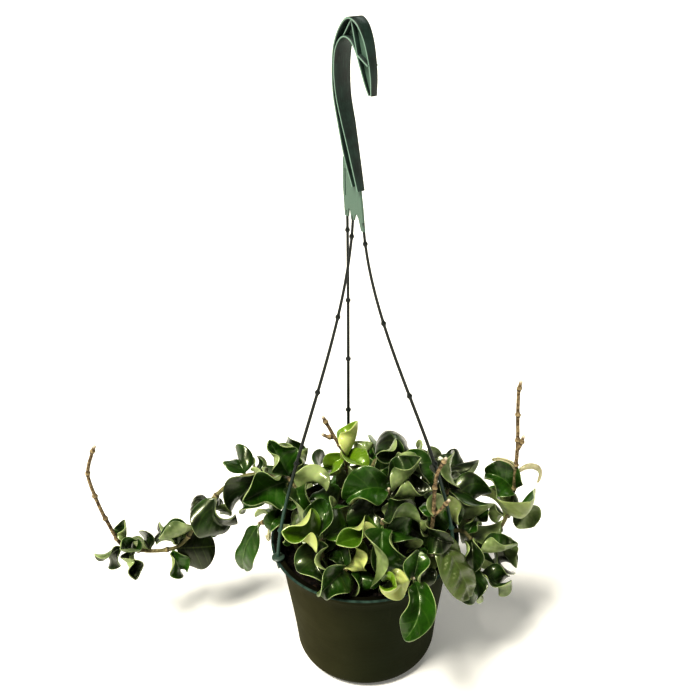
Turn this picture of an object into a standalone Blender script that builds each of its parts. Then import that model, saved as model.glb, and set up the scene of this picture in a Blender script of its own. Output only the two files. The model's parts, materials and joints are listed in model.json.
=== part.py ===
"""Hindu rope plant in a hanging pot: a thin moulded pot, its soil, a one-piece hook with three legs,
and a leafy stem for each shoot. Metres, +Z up, origin at the centre of the pot's foot. +X is right and
+Y is away from the viewer who faces the plant. Every stem is a curve, every leaf a folded, recurved
blade, and the leaves of one shoot are fused to its stem."""

import functools
import math

import bmesh
import bpy
import numpy as np
from mathutils.bvhtree import BVHTree

# Pot: a 150 mm hanging pot, thin wall, flat foot
POT_HEIGHT = 0.115
RIM_RADIUS = 0.0762
RIM_THICK = 0.0022
RIM_MIDDLE = 0.0732
WALL_TOP_RADIUS = 0.0714
BAND_DEPTH = 0.011
BAND_STEP = 0.0008
FOOT_RADIUS = 0.047
FOOT_CORNER = 0.0118
POT_WALL = 0.0016
POT_STEPS = 32
DRAIN_HOLES = 4
DRAIN_RADIUS = 0.004
DRAIN_CIRCLE = 0.034

# Soil
SOIL_TOP = 0.097
SOIL_CROWN = 0.003
SOIL_SHOULDER = 0.6
SEAT_GAP = 0.0003
STEM_HOLE_SLACK = 0.0012
SOIL_STEPS = 24
CUT_PAST = 0.005

# Hanger: hook plane turned so that the mouth opens to the right and towards the viewer
HOOK_TURN = math.radians(-54)
HOOK_BASE = POT_HEIGHT
WEB_THICK = 0.0016
FLANGE_THICK = 0.0015
RIB_HALF_WIDTH = 0.004
LEG_RADIUS_TOP = 0.00105
LEG_RADIUS_END = 0.0016
LEG_POINTS = 9
LEG_LEAN = 0.005
LEG_SAMPLES = 200
NUB_SPACING = 0.0593
NUB_START = 0.015
NUB_COUNT = 5
NUB_SWELL = 1.9
NUB_LENGTH = 0.0022
CLIP_CIRCLE = 0.074
CLIP_HOLE_RADIUS = 0.0015
PIN_RADIUS = 0.0012
PIN_SUNK = 0.001
DISC_RADIUS = 0.0042
DISC_THICK = 0.0016
BARB_RADIUS = 0.0022
BARB_TIP_RADIUS = 0.0008
BARB_LENGTH = 0.0075

# Hook outline in its own plane, metres along and over the rim, followed from the shank over the arch
OUTER_FLANGE = (
    (-0.0071, 0.289), (-0.0144, 0.308), (-0.0187, 0.328), (-0.0222, 0.346), (-0.0222, 0.362),
    (-0.0200, 0.376), (-0.0145, 0.387), (-0.0065, 0.3935), (0.0015, 0.391), (0.0075, 0.383),
    (0.0112, 0.372), (0.0130, 0.361), (0.0128, 0.3505),
)
OUTER_HALF_WIDTHS = (
    0.003, 0.004, 0.0052, 0.006, 0.0065, 0.0065, 0.006, 0.0055, 0.0048, 0.004, 0.0033, 0.0028, 0.0024,
)
INNER_FLANGE = (
    (-0.0014, 0.287), (-0.0075, 0.308), (-0.0140, 0.329), (-0.0190, 0.345), (-0.0205, 0.360),
    (-0.0192, 0.372), (-0.0160, 0.379), (-0.0110, 0.3825), (-0.0050, 0.3812), (0.0000, 0.3755),
    (0.0038, 0.366), (0.0074, 0.357), (0.0106, 0.3505),
)
INNER_HALF_WIDTHS = (
    0.003, 0.0042, 0.0055, 0.006, 0.0065, 0.0065, 0.006, 0.0055, 0.005, 0.0044, 0.0036, 0.003, 0.0024,
)
RIBS = (
    ((-0.0192, 0.372), (-0.0205, 0.3765)), ((-0.0150, 0.380), (-0.0045, 0.3930)),
    ((-0.0045, 0.3930), (0.0015, 0.3730)), ((0.0015, 0.3730), (0.0118, 0.3680)),
)
PLATE = (
    (-0.0144, 0.308), (-0.0180, 0.309), (-0.0203, 0.305), (-0.0206, 0.285), (-0.0190, 0.266),
    (-0.0160, 0.266), (-0.0152, 0.2715), (-0.0140, 0.2725), (-0.0128, 0.2710), (-0.0118, 0.2650),
    (-0.0092, 0.2650), (-0.0078, 0.2690), (-0.0058, 0.2705), (-0.0036, 0.2680), (-0.0006, 0.2600),
    (0.0022, 0.2600), (0.0006, 0.274), (-0.0012, 0.287),
)
SLOT = ((-0.0186, 0.280), (-0.0186, 0.299), (-0.0172, 0.299), (-0.0172, 0.280))

# Each leg: where it leaves the plate (along the hook, height over the rim), the compass angle of its
# clip, and how far it runs straight down from the plate and up from the clip
LEGS = (
    {"plate": (-0.0105, 0.268), "clip": 203, "fall": 0.090, "rise": 0.070},
    {"plate": (0.0010, 0.266), "clip": 340, "fall": 0.090, "rise": 0.085},
    {"plate": (-0.0172, 0.270), "clip": 101, "fall": 0.085, "rise": 0.066},
)

# Leaves
PETIOLE = 0.09
PETIOLE_HALF_WIDTH = 0.0017
LEAF_THICK = 0.0010
HALF_WIDTH_SHARE = 0.42
ROWS = 4
TIGHT_CURL = 140
SHORT_LEAF = 0.032
COLUMNS = 4
MIDRIB_STEPS = 48
ROUND_BASE = 0.55
POINTED_TIP = 0.75
LATE_BEND = 1.3
WAVE_OFFSET = 1.7
WAVES = (0.8, 1.3)
LEAST_CUP = 0.001
VARIETY = 0.1
PAIR_LEAN = 0.4
PAIR_ASKEW = (0.3, -0.2, 1)

# How a leaf folds, in degrees: fold is the angle of each half at the midrib, cup how much further it
# turns by the margin, flare how far that swings along the blade, bend the pitch of the whole midrib (minus
# curls the tip under), sweep its sideways turn, twist its corkscrew. broad widens the blade, tip is a power
# under the usual one for a rounder tip, and early a power under 1 for a sweep that starts near the stalk.
FORMS = {
    "boat": {"fold": 35, "cup": 40, "flare": 75, "bend": -95, "sweep": 25, "twist": 30, "broad": 1.15},
    "saddle": {"fold": 50, "cup": -60, "flare": 60, "bend": -150, "sweep": 25, "twist": 35, "broad": 1.15},
    "scroll": {"fold": 35, "cup": 35, "flare": 65, "bend": -230, "sweep": 25, "twist": 25, "broad": 1.05},
    "cup": {"fold": 30, "cup": 75, "flare": 60, "bend": 30, "sweep": 20, "twist": 25, "broad": 1.2},
    "bowl": {"fold": 22, "cup": 85, "flare": 40, "bend": -70, "sweep": 10, "twist": 0, "broad": 1.25},
    "ladle": {"fold": 25, "cup": 60, "flare": 15, "bend": 80, "sweep": 0, "twist": 0, "broad": 1.3},
    "broad": {
        "fold": 15, "cup": -60, "flare": 25, "bend": -60, "sweep": 10, "twist": 5, "broad": 0.66,
        "tip": 0.5,
    },
    "dome": {
        "fold": -15, "cup": -75, "flare": 15, "bend": -90, "sweep": 0, "twist": 5, "broad": 1.25,
        "tip": 0.45,
    },
    "disc": {
        "fold": -8, "cup": -45, "flare": 12, "bend": -55, "sweep": 5, "twist": 5, "broad": 1.3,
        "tip": 0.45,
    },
    "over": {
        "fold": 28, "cup": 40, "flare": 25, "bend": -25, "sweep": -75, "twist": -8, "broad": 0.9,
    },
    "dried": {"fold": 50, "cup": 60, "flare": 10, "bend": -150, "sweep": 10, "twist": 60, "broad": 0.3},
}
RULE_FORMS = ("boat", "saddle", "scroll", "cup", "bowl", "saddle")

# Clearances, so that no shoot crosses another, the pot or the hanger
GAP_OTHER_SHOOT = 0.0009
GAP_FIXED = 0.0007
GAP_POT = 0.0013
SAMPLE_ROWS = 10
SAMPLE_COLUMNS = 7
RIM_SAMPLES = 49
ASKEW = (0.31, 0.42, 0.85)
TRIES = 80
TURN_STEP = 1.6
RISE_STEP = 1.12
SLIDE_STEP = 0.008
ROOT_SUNK = 0.2
SHRINK_STEP = 0.005
LISTED_SEED = 78
PAIRED_SEED = 178

STEM_RADIUS = 0.0019
TWIG_RADIUS = 0.0013
STEM_STEP = 0.014
KNUCKLE_SWELL = 1.35
TIP_SHARE = 0.75

# Shoots. points run from the root in the soil to the tip. A listed leaf is (place along the points,
# compass angle, rise, roll, length, form). pairs gives the opposite leaves that follow the rule: first
# place, last place, how many pairs, length.
SHOOTS = (
    {
        "name": "stem_left_trailer",
        "points": (
            (-0.044, 0.022, 0.085), (-0.044, 0.022, 0.106), (-0.054, 0.027, 0.130), (-0.074, 0.030, 0.148),
            (-0.095, 0.030, 0.151), (-0.110, 0.029, 0.144), (-0.124, 0.027, 0.132), (-0.138, 0.024, 0.115),
            (-0.148, 0.022, 0.096), (-0.158, 0.020, 0.085), (-0.172, 0.018, 0.082), (-0.188, 0.016, 0.084),
            (-0.203, 0.014, 0.091), (-0.212, 0.012, 0.121), (-0.217, 0.012, 0.144), (-0.219, 0.011, 0.168),
            (-0.213, 0.010, 0.187), (-0.209, 0.010, 0.196),
        ),
        "leaves": (
            (4.2, 120, 50, 20, 0.030, "saddle"), (3.4, 214, -20, 45, 0.040, "boat"),
            (7.2, 120, 45, 40, 0.028, "dome"), (9.35, -5, 4, -49, 0.036, "disc"),
            (5.9, 245, -45, -15, 0.042, "saddle"), (6.4, 305, -42, -20, 0.032, "boat"),
            (11.1, 235, 30, 0, 0.030, "cup"), (12.0, 195, -25, 60, 0.028, "boat"),
            (11.7, 285, -30, 0, 0.030, "cup"), (9.4, 290, -45, 0, 0.028, "boat"),
            (12.0, 60, 55, 0, 0.023, "cup"), (10.6, 120, 35, 0, 0.028, "scroll"),
            (8.3, 150, 32, 40, 0.022, "dome"), (9.0, 150, 45, 20, 0.028, "boat"),
        ),
        "pairs": (3.6, 7.6, 2, 0.030),
    },
    {
        "name": "stem_right_trailer",
        "points": (
            (0.044, 0.014, 0.085), (0.044, 0.014, 0.106), (0.054, 0.012, 0.126), (0.068, 0.010, 0.134),
            (0.082, 0.006, 0.124), (0.093, 0.002, 0.108), (0.103, 0.001, 0.104), (0.111, 0.003, 0.116),
            (0.117, 0.005, 0.131), (0.119, 0.005, 0.147), (0.119, 0.005, 0.168), (0.119, 0.005, 0.194),
            (0.117, 0.005, 0.223), (0.116, 0.005, 0.243), (0.117, 0.005, 0.254),
        ),
        "side_twigs": (((0.1188, 0.005, 0.190), (0.1215, 0.004, 0.198), (0.1225, 0.003, 0.206)),),
        "leaves": (
            (7.9, 288, 20, 0, 0.050, "ladle"), (9.0, 165, 55, 30, 0.035, "boat"),
            (7.4, 205, -15, 140, 0.046, "boat"), (6.7, 270, -10, 10, 0.037, "cup"),
            (6.0, -42, -45, 0, 0.042, "boat"), (5.0, -60, -50, 0, 0.035, "saddle"),
            (8.2, 15, -15, 0, 0.032, "saddle"), (5.3, 0, -60, 0, 0.032, "cup"),
            (10.0, 150, 50, 0, 0.030, "dried"), (10.0, 10, 30, 0, 0.034, "dried"),
        ),
        "pairs": (2.6, 7.4, 3, 0.034),
    },
    {
        "name": "stem_front_middle",
        "points": (
            (0.016, -0.028, 0.085), (0.016, -0.028, 0.106), (0.015, -0.034, 0.134), (0.013, -0.040, 0.162),
        ),
        "leaves": (
            (3.0, 264, -36, 0, 0.050, "boat"), (2.6, -30, 10, -20, 0.032, "saddle"),
            (2.6, 215, 5, 30, 0.044, "cup"), (2.3, 240, 0, 0, 0.035, "scroll"),
        ),
        "pairs": (1.9, 2.7, 2, 0.033),
    },
    {
        "name": "stem_right_front",
        "points": (
            (0.040, -0.024, 0.085), (0.040, -0.024, 0.106), (0.047, -0.028, 0.124), (0.051, -0.030, 0.143),
            (0.052, -0.030, 0.165), (0.053, -0.030, 0.193), (0.060, -0.028, 0.209),
        ),
        "side_twigs": (
            ((0.0518, -0.030, 0.156), (0.058, -0.029, 0.162), (0.064, -0.028, 0.170)),
            ((0.0505, -0.030, 0.140), (0.0515, -0.036, 0.134), (0.0510, -0.041, 0.126)),
        ),
        "leaves": (
            (3.0, -50, -25, 0, 0.062, "broad"), (2.6, 205, 20, 40, 0.039, "boat"),
            (3.3, 160, 30, 30, 0.030, "scroll"), (2.2, -60, -35, 0, 0.044, "saddle"),
            (1.8, 240, -5, 20, 0.042, "broad"),
        ),
        "pairs": (1.7, 3.0, 3, 0.033),
    },
    {
        "name": "stem_front_right",
        "points": (
            (0.022, -0.040, 0.085), (0.022, -0.040, 0.106), (0.029, -0.056, 0.121), (0.036, -0.071, 0.133),
        ),
        "leaves": (
            (3.0, 297, -30, -14, 0.048, "over"), (3.0, 196, -4, 229, 0.032, "boat"),
            (2.3, -25, 5, 0, 0.030, "saddle"), (2.0, 230, 10, 20, 0.030, "cup"),
        ),
        "pairs": (1.7, 2.6, 2, 0.030),
    },
    {
        "name": "stem_front_left",
        "points": (
            (-0.032, -0.030, 0.085), (-0.032, -0.030, 0.106), (-0.033, -0.036, 0.128),
            (-0.033, -0.040, 0.146),
        ),
        "leaves": (
            (3.0, 195, 30, 30, 0.040, "cup"), (2.5, 255, -20, 0, 0.039, "boat"),
            (3.0, 80, 70, 0, 0.035, "boat"), (2.8, 10, 30, -20, 0.039, "saddle"),
            (1.9, 225, 0, 20, 0.035, "scroll"),
        ),
        "pairs": (1.6, 2.4, 2, 0.032),
    },
    {
        "name": "stem_front_centre",
        "points": (
            (-0.004, -0.038, 0.085), (-0.004, -0.038, 0.106), (-0.010, -0.047, 0.120),
            (-0.018, -0.056, 0.127),
        ),
        "leaves": (
            (3.0, 192, -5, 45, 0.036, "boat"), (2.8, 290, -25, 0, 0.022, "dome"),
            (2.6, 345, 0, 131, 0.032, "boat"), (2.4, 25, 35, -25, 0.034, "scroll"),
            (2.2, 160, 35, 30, 0.032, "cup"), (3.0, 60, 50, 0, 0.030, "saddle"),
        ),
        "pairs": (1.6, 2.4, 2, 0.030),
    },
    {
        "name": "stem_left_inner",
        "points": (
            (-0.034, 0.004, 0.085), (-0.034, 0.004, 0.106), (-0.042, 0.004, 0.130), (-0.052, 0.006, 0.150),
            (-0.062, 0.012, 0.164),
        ),
        "leaves": (
            (4.0, 130, 50, 0, 0.037, "cup"), (3.8, 50, 60, 0, 0.040, "cup"),
            (3.3, 20, 60, 0, 0.042, "boat"), (3.3, 280, 15, 0, 0.040, "scroll"),
            (3.7, 218, 0, 30, 0.048, "cup"), (4.0, 195, 35, 20, 0.033, "boat"),
            (2.5, 320, 20, 0, 0.042, "saddle"),
        ),
        "pairs": (1.8, 3.0, 2, 0.033),
    },
    {
        "name": "stem_left_low",
        "points": (
            (-0.054, -0.012, 0.085), (-0.054, -0.012, 0.106), (-0.062, -0.010, 0.124),
            (-0.074, -0.006, 0.132), (-0.086, -0.002, 0.127),
        ),
        "leaves": (
            (3.8, 215, -40, 0, 0.044, "broad"), (3.2, 290, -30, 0, 0.026, "dried"),
            (2.6, 100, 30, 0, 0.033, "boat"),
        ),
        "pairs": (2.0, 2.8, 2, 0.028),
    },
    {
        "name": "stem_middle_back",
        "points": (
            (-0.008, 0.018, 0.085), (-0.008, 0.018, 0.106), (-0.011, 0.024, 0.135), (-0.014, 0.028, 0.158),
            (-0.017, 0.028, 0.174), (-0.025, 0.029, 0.191), (-0.033, 0.030, 0.208),
        ),
        "side_twigs": (((-0.0235, 0.029, 0.188), (-0.030, 0.028, 0.190), (-0.034, 0.027, 0.193)),),
        "leaves": (
            (3.7, 20, 55, 0, 0.033, "cup"), (3.6, -35, 40, 0, 0.032, "boat"),
            (3.6, 205, 20, 0, 0.026, "scroll"), (3.1, 215, -5, 30, 0.048, "saddle"),
            (3.2, -45, -15, 150, 0.040, "boat"), (2.6, 268, 10, 0, 0.039, "bowl"),
        ),
        "pairs": (1.8, 3.3, 2, 0.035),
    },
    {
        "name": "stem_centre",
        "points": (
            (0.010, -0.004, 0.085), (0.010, -0.004, 0.106), (0.012, -0.008, 0.132), (0.016, -0.010, 0.152),
            (0.019, -0.008, 0.166),
        ),
        "leaves": (
            (3.8, 200, 35, 20, 0.040, "boat"), (4.0, 0, 35, -20, 0.040, "cup"),
            (3.0, 200, 5, 20, 0.040, "saddle"), (3.4, -40, 10, 0, 0.042, "cup"),
        ),
        "pairs": (2.0, 3.2, 2, 0.035),
    },
    {
        "name": "stem_top_right",
        "points": (
            (0.020, 0.028, 0.085), (0.020, 0.028, 0.106), (0.024, 0.032, 0.134), (0.029, 0.030, 0.152),
            (0.033, 0.028, 0.163),
        ),
        "leaves": (
            (4.0, 200, 30, 20, 0.036, "cup"), (3.9, 110, 42, 0, 0.050, "dome"),
            (3.8, 285, 20, 0, 0.039, "boat"), (3.6, 0, 35, 0, 0.040, "boat"),
        ),
        "pairs": (2.0, 3.4, 3, 0.034),
    },
    {
        "name": "stem_right_middle",
        "points": (
            (0.052, -0.002, 0.085), (0.052, -0.002, 0.106), (0.057, -0.002, 0.128), (0.062, 0.002, 0.146),
            (0.068, 0.004, 0.157),
        ),
        "leaves": (
            (3.7, -10, 25, -30, 0.046, "scroll"), (3.6, 125, 60, 0, 0.039, "boat"),
            (3.0, -60, 0, 0, 0.039, "saddle"),
        ),
        "pairs": (2.0, 3.4, 3, 0.035),
    },
    {
        "name": "stem_right_low",
        "points": (
            (0.058, -0.014, 0.085), (0.058, -0.014, 0.106), (0.066, -0.010, 0.121), (0.079, -0.012, 0.124),
            (0.089, -0.020, 0.111), (0.090, -0.030, 0.093),
        ),
        "leaves": (
            (5.0, -25, -15, 0, 0.032, "boat"), (4.5, 235, -45, 0, 0.034, "boat"),
            (5.0, 275, -60, 0, 0.028, "cup"), (4.0, -20, 10, 0, 0.034, "cup"),
        ),
        "pairs": (3.4, 4.6, 1, 0.028),
    },
    {
        "name": "stem_back_left",
        "points": (
            (-0.026, 0.044, 0.085), (-0.026, 0.044, 0.106), (-0.036, 0.054, 0.125), (-0.050, 0.066, 0.130),
            (-0.064, 0.080, 0.120), (-0.072, 0.090, 0.100),
        ),
        "leaves": (),
        "pairs": (2.2, 5.0, 3, 0.036),
    },
    {
        "name": "stem_back_centre",
        "points": (
            (0.000, 0.050, 0.085), (0.000, 0.050, 0.106), (0.004, 0.060, 0.124), (0.008, 0.074, 0.129),
            (0.012, 0.090, 0.119), (0.014, 0.100, 0.098),
        ),
        "leaves": (),
        "pairs": (2.2, 5.0, 3, 0.036),
    },
    {
        "name": "stem_back_right",
        "points": (
            (0.036, 0.040, 0.085), (0.036, 0.040, 0.106), (0.046, 0.048, 0.124), (0.060, 0.058, 0.129),
            (0.074, 0.068, 0.118), (0.082, 0.074, 0.098),
        ),
        "leaves": (),
        "pairs": (2.2, 5.0, 3, 0.036),
    },
)


def collection_named(name, parent):
    made = bpy.data.collections.new(name)
    parent.children.link(made)
    return made


def material_named(name, colour, roughness, metallic=0.0):
    """A Principled material from an sRGB colour in 0..1."""
    material = bpy.data.materials.new(name)
    material.use_nodes = True
    shader = material.node_tree.nodes["Principled BSDF"]
    linear = [((c + 0.055) / 1.055) ** 2.4 if c > 0.04045 else c / 12.92 for c in colour]
    shader.inputs["Base Color"].default_value = (*linear, 1)
    shader.inputs["Roughness"].default_value = roughness
    shader.inputs["Metallic"].default_value = metallic
    return material


def mesh_object(name, mesh, collection, material=None):
    made = bpy.data.objects.new(name, mesh)
    collection.objects.link(made)
    if material:
        made.data.materials.append(material)
    return made


def bmesh_object(name, bm, collection, material=None):
    mesh = bpy.data.meshes.new(name)
    bm.to_mesh(mesh)
    bm.free()
    return mesh_object(name, mesh, collection, material)


def evaluated_mesh(obj):
    bpy.context.view_layer.update()
    graph = bpy.context.evaluated_depsgraph_get()
    return bpy.data.meshes.new_from_object(obj.evaluated_get(graph))


def turned(name, profile, steps, collection, material):
    """A profile of (radius, height) points turned about Z with a Screw."""
    mesh = bpy.data.meshes.new(name)
    points = [(radius, 0.0, height) for radius, height in profile]
    mesh.from_pydata(points, [(i, i + 1) for i in range(len(points) - 1)], [])
    obj = mesh_object(name, mesh, collection, material)
    screw = obj.modifiers.new("turn", "SCREW")
    screw.steps = screw.render_steps = steps
    screw.use_smooth_shade = True
    screw.use_merge_vertices = True
    screw.merge_threshold = 1e-5
    return obj


def cylinder(name, centre, radius, low, high, sides, collection, top_radius=None):
    """An upright cylinder or cone from low to high."""
    bm = bmesh.new()
    bmesh.ops.create_cone(
        bm, cap_ends=True, segments=sides, radius1=radius,
        radius2=radius if top_radius is None else top_radius, depth=high - low,
    )
    bmesh.ops.translate(bm, verts=bm.verts, vec=(centre[0], centre[1], (low + high) / 2))
    return bmesh_object(name, bm, collection)


def as_cutter(obj):
    obj.hide_render = True
    obj.display_type = "WIRE"
    return obj


def tube(name, points, radii, collection, resolution=1):
    """A mesh tube through points, a radius at each, from a bevelled poly curve with welded caps."""
    curve = bpy.data.curves.new(name, "CURVE")
    curve.dimensions = "3D"
    curve.bevel_depth = 1.0
    curve.bevel_resolution = resolution
    curve.use_fill_caps = True
    spline = curve.splines.new("POLY")
    spline.points.add(len(points) - 1)
    for knot, point, radius in zip(spline.points, points, radii):
        knot.co = (*point, 1)
        knot.radius = radius
    holder = bpy.data.objects.new(name + "_curve", curve)
    collection.objects.link(holder)
    mesh = evaluated_mesh(holder)
    bpy.data.objects.remove(holder)
    bm = bmesh.new()
    bm.from_mesh(mesh)
    bpy.data.meshes.remove(mesh)
    bmesh.ops.remove_doubles(bm, verts=bm.verts, dist=1e-6)
    for face in bm.faces:
        face.smooth = len(face.verts) == 4
    return bmesh_object(name, bm, collection)


def keep_outer_shell(mesh):
    """Leaves the largest closed surface: a hollow that fusing sealed is filled and a scrap is dropped."""
    bm = bmesh.new()
    bm.from_mesh(mesh)
    left = set(bm.verts)
    islands = []
    while left:
        island, front = set(), [left.pop()]
        while front:
            vert = front.pop()
            island.add(vert)
            for edge in vert.link_edges:
                other = edge.other_vert(vert)
                if other in left:
                    left.discard(other)
                    front.append(other)
        islands.append(island)
    islands.sort(key=len)
    loose = [vert for island in islands[:-1] for vert in island]
    bmesh.ops.delete(bm, geom=loose, context="VERTS")
    bmesh.ops.triangulate(bm, faces=bm.faces)
    bm.to_mesh(mesh)
    bm.free()


def fuse(base, repeats, solver="EXACT"):
    """Joins every object of the collection to the base in one Boolean union, then removes them."""
    union = base.modifiers.new("fuse", "BOOLEAN")
    union.operation = "UNION"
    union.operand_type = "COLLECTION"
    union.collection = repeats
    union.solver = solver
    mesh = evaluated_mesh(base)
    keep_outer_shell(mesh)
    base.modifiers.clear()
    materials = list(base.data.materials)
    base.data = mesh
    mesh.materials.clear()
    for material in materials:
        mesh.materials.append(material)
    for obj in list(repeats.objects):
        bpy.data.objects.remove(obj)
    bpy.data.collections.remove(repeats)


def smooth_path(points, places):
    """A Catmull-Rom curve through the points, read at places counted in points."""
    points = np.asarray(points, float)
    padded = np.vstack([2 * points[0] - points[1], points, 2 * points[-1] - points[-2]])
    places = np.clip(np.asarray(places, float), 0, len(points) - 1 - 1e-9)
    i = places.astype(int)
    t = (places - i)[:, None]
    a, b, c, d = padded[i], padded[i + 1], padded[i + 2], padded[i + 3]
    return 0.5 * (2 * b + (c - a) * t + (2 * a - 5 * b + 4 * c - d) * t**2 + (3 * b - a - 3 * c + d) * t**3)


def heading(compass, rise, roll):
    """Unit vectors forward, left and up for a leaf that leaves its stem this way, angles in degrees."""
    compass, rise, roll = np.radians([compass, rise, roll])
    level = np.array([math.cos(compass), math.sin(compass), 0])
    upright = np.array([0, 0, 1])
    forward = level * math.cos(rise) + upright * math.sin(rise)
    up = upright * math.cos(rise) - level * math.sin(rise)
    left = np.cross(up, forward)
    return forward, left * math.cos(roll) - up * math.sin(roll), up * math.cos(roll) + left * math.sin(roll)


def leaf_surface(leaf, along, across):
    """The leaf's middle surface on a grid. The midrib pitches, sweeps and twists along the blade; each
    half leaves it at the fold angle and turns by the cup angle as an arc, which swings in and out."""
    form = leaf["form"]
    length = leaf["length"]
    half = length * HALF_WIDTH_SHARE * form["broad"]
    fine = np.linspace(0, 1, MIDRIB_STEPS + 1)
    blade = np.clip((fine - PETIOLE) / (1 - PETIOLE), 0, 1)
    pitch = np.radians(form["bend"]) * blade**LATE_BEND
    sweep = np.radians(form["sweep"]) * blade ** form.get("early", 1)
    tangent = np.stack([np.cos(pitch) * np.cos(sweep), np.cos(pitch) * np.sin(sweep), np.sin(pitch)], -1)
    steps = (tangent[1:] + tangent[:-1]) / 2 * length / MIDRIB_STEPS
    midrib = np.vstack([np.zeros(3), np.cumsum(steps, axis=0)])
    along = np.asarray(along, float)
    across = np.asarray(across, float)[None, :]
    centre = np.stack([np.interp(along, fine, midrib[:, k]) for k in range(3)], -1)[:, None]
    blade = np.clip((along - PETIOLE) / (1 - PETIOLE), 0, 1)
    pitch = np.radians(form["bend"]) * blade**LATE_BEND
    sweep = np.radians(form["sweep"]) * blade ** form.get("early", 1)
    twist = (np.radians(form["twist"]) * blade)[:, None, None]
    normal = np.stack([-np.sin(pitch) * np.cos(sweep), -np.sin(pitch) * np.sin(sweep), np.cos(pitch)], -1)
    side = np.stack([-np.sin(sweep), np.cos(sweep), np.zeros_like(sweep)], -1)
    normal, side = normal[:, None], side[:, None]
    c, s = np.cos(twist), np.sin(twist)
    normal, side = normal * c + side * s, side * c - normal * s
    tip = form.get("tip", POINTED_TIP)
    widest = ROUND_BASE / (ROUND_BASE + tip)
    outline = (blade / widest) ** ROUND_BASE * ((1 - blade) / (1 - widest)) ** tip * half
    stalk = PETIOLE_HALF_WIDTH * np.clip(along / PETIOLE, 0, 1) * (1 - blade)
    reach = np.maximum(outline, stalk)[:, None] * np.abs(across)
    share = reach / half
    fold = np.radians(form["fold"])
    phase = leaf["phase"] + WAVE_OFFSET * (across > 0)
    ripple = np.sin(2 * np.pi * form["waves"] * blade[:, None] + phase)
    cup = np.radians(form["cup"] + form["flare"] * ripple)
    cup = np.where(np.abs(cup) < LEAST_CUP, LEAST_CUP, cup)
    out = (np.sin(fold + cup * share) - math.sin(fold)) / cup * half * np.sign(across)
    lift = (math.cos(fold) - np.cos(fold + cup * share)) / cup * half
    local = centre + side * out[..., None] + normal * lift[..., None]
    forward, left, up = heading(leaf["compass"], leaf["rise"], leaf["roll"])
    return leaf["root"] + local @ np.stack([forward, left, up])


def varied(form, by_rule, rng):
    """A form with each of its angles drawn within a tenth of its value, and a leaf that follows the rule
    turned to either hand."""
    made = {key: value * rng.uniform(1 - VARIETY, 1 + VARIETY) for key, value in form.items()}
    if by_rule:
        made["sweep"] *= rng.choice([-1, 1])
        made["twist"] *= rng.choice([-1, 1])
    made["waves"] = rng.uniform(*WAVES)
    return made


def pot_radius(height):
    """Outer radius of the pot's wall at a height."""
    slope = (WALL_TOP_RADIUS - FOOT_RADIUS - FOOT_CORNER) / (POT_HEIGHT - FOOT_CORNER)
    return FOOT_RADIUS + FOOT_CORNER + slope * (height - FOOT_CORNER)


def clear_of_pot(points):
    radius = np.hypot(points[:, 0], points[:, 1])
    height = points[:, 2]
    inside = (radius < WALL_TOP_RADIUS - POT_WALL - GAP_POT) & (height > SOIL_TOP + SOIL_CROWN + GAP_POT)
    above = height > POT_HEIGHT + GAP_POT
    outside = radius > RIM_RADIUS + GAP_POT
    return bool((inside | above | outside).all())


@functools.lru_cache
def shell_faces(rows, columns):
    """Faces of a closed shell: a grid of points, a second one under it, and the rim between them."""
    index = np.arange(2 * rows * columns).reshape(2, rows, columns)
    faces = []
    for sheet in index:
        quads = np.stack([sheet[:-1, :-1], sheet[1:, :-1], sheet[1:, 1:], sheet[:-1, 1:]], -1)
        faces += quads.reshape(-1, 4).tolist()
    for edge in (index[:, 0], index[:, -1], index[:, :, 0], index[:, :, -1]):
        faces += np.stack([edge[0, :-1], edge[0, 1:], edge[1, 1:], edge[1, :-1]], -1).tolist()
    return faces


def shell_tree(grid, offset):
    """Search tree of a leaf's two faces, each moved off its middle surface."""
    normal = np.cross(np.gradient(grid, axis=0), np.gradient(grid, axis=1))
    normal[-1] = normal[-2]
    normal /= np.linalg.norm(normal, axis=-1, keepdims=True) + 1e-12
    points = np.stack([grid + normal * offset, grid - normal * offset]).reshape(-1, 3)
    return BVHTree.FromPolygons(points.tolist(), shell_faces(*grid.shape[:2]))


def tube_tree(points, radius):
    """Search tree of a square tube round a path."""
    ways = np.gradient(points, axis=0)
    ways /= np.linalg.norm(ways, axis=1)[:, None]
    side = np.cross(ways, ASKEW)
    side /= np.linalg.norm(side, axis=1)[:, None]
    over = np.cross(ways, side)
    corners = np.stack([side + over, over - side, -side - over, side - over], 1)
    rings = points[:, None] + corners * radius
    index = np.arange(rings.size // 3).reshape(-1, 4)
    faces = []
    for k in range(4):
        n = (k + 1) % 4
        faces += np.stack([index[:-1, k], index[:-1, n], index[1:, n], index[1:, k]], -1).tolist()
    return BVHTree.FromPolygons(rings.reshape(-1, 3).tolist(), faces)


def leaf_grids(leaf):
    """The blade's middle surface twice: as coarse as its solid, and fine."""
    coarse = leaf_surface(leaf, row_places(leaf)[1:], np.linspace(-1, 1, COLUMNS + 1))
    fine = leaf_surface(leaf, np.linspace(PETIOLE, 1, SAMPLE_ROWS), np.linspace(-1, 1, SAMPLE_COLUMNS))
    return coarse, fine


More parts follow.
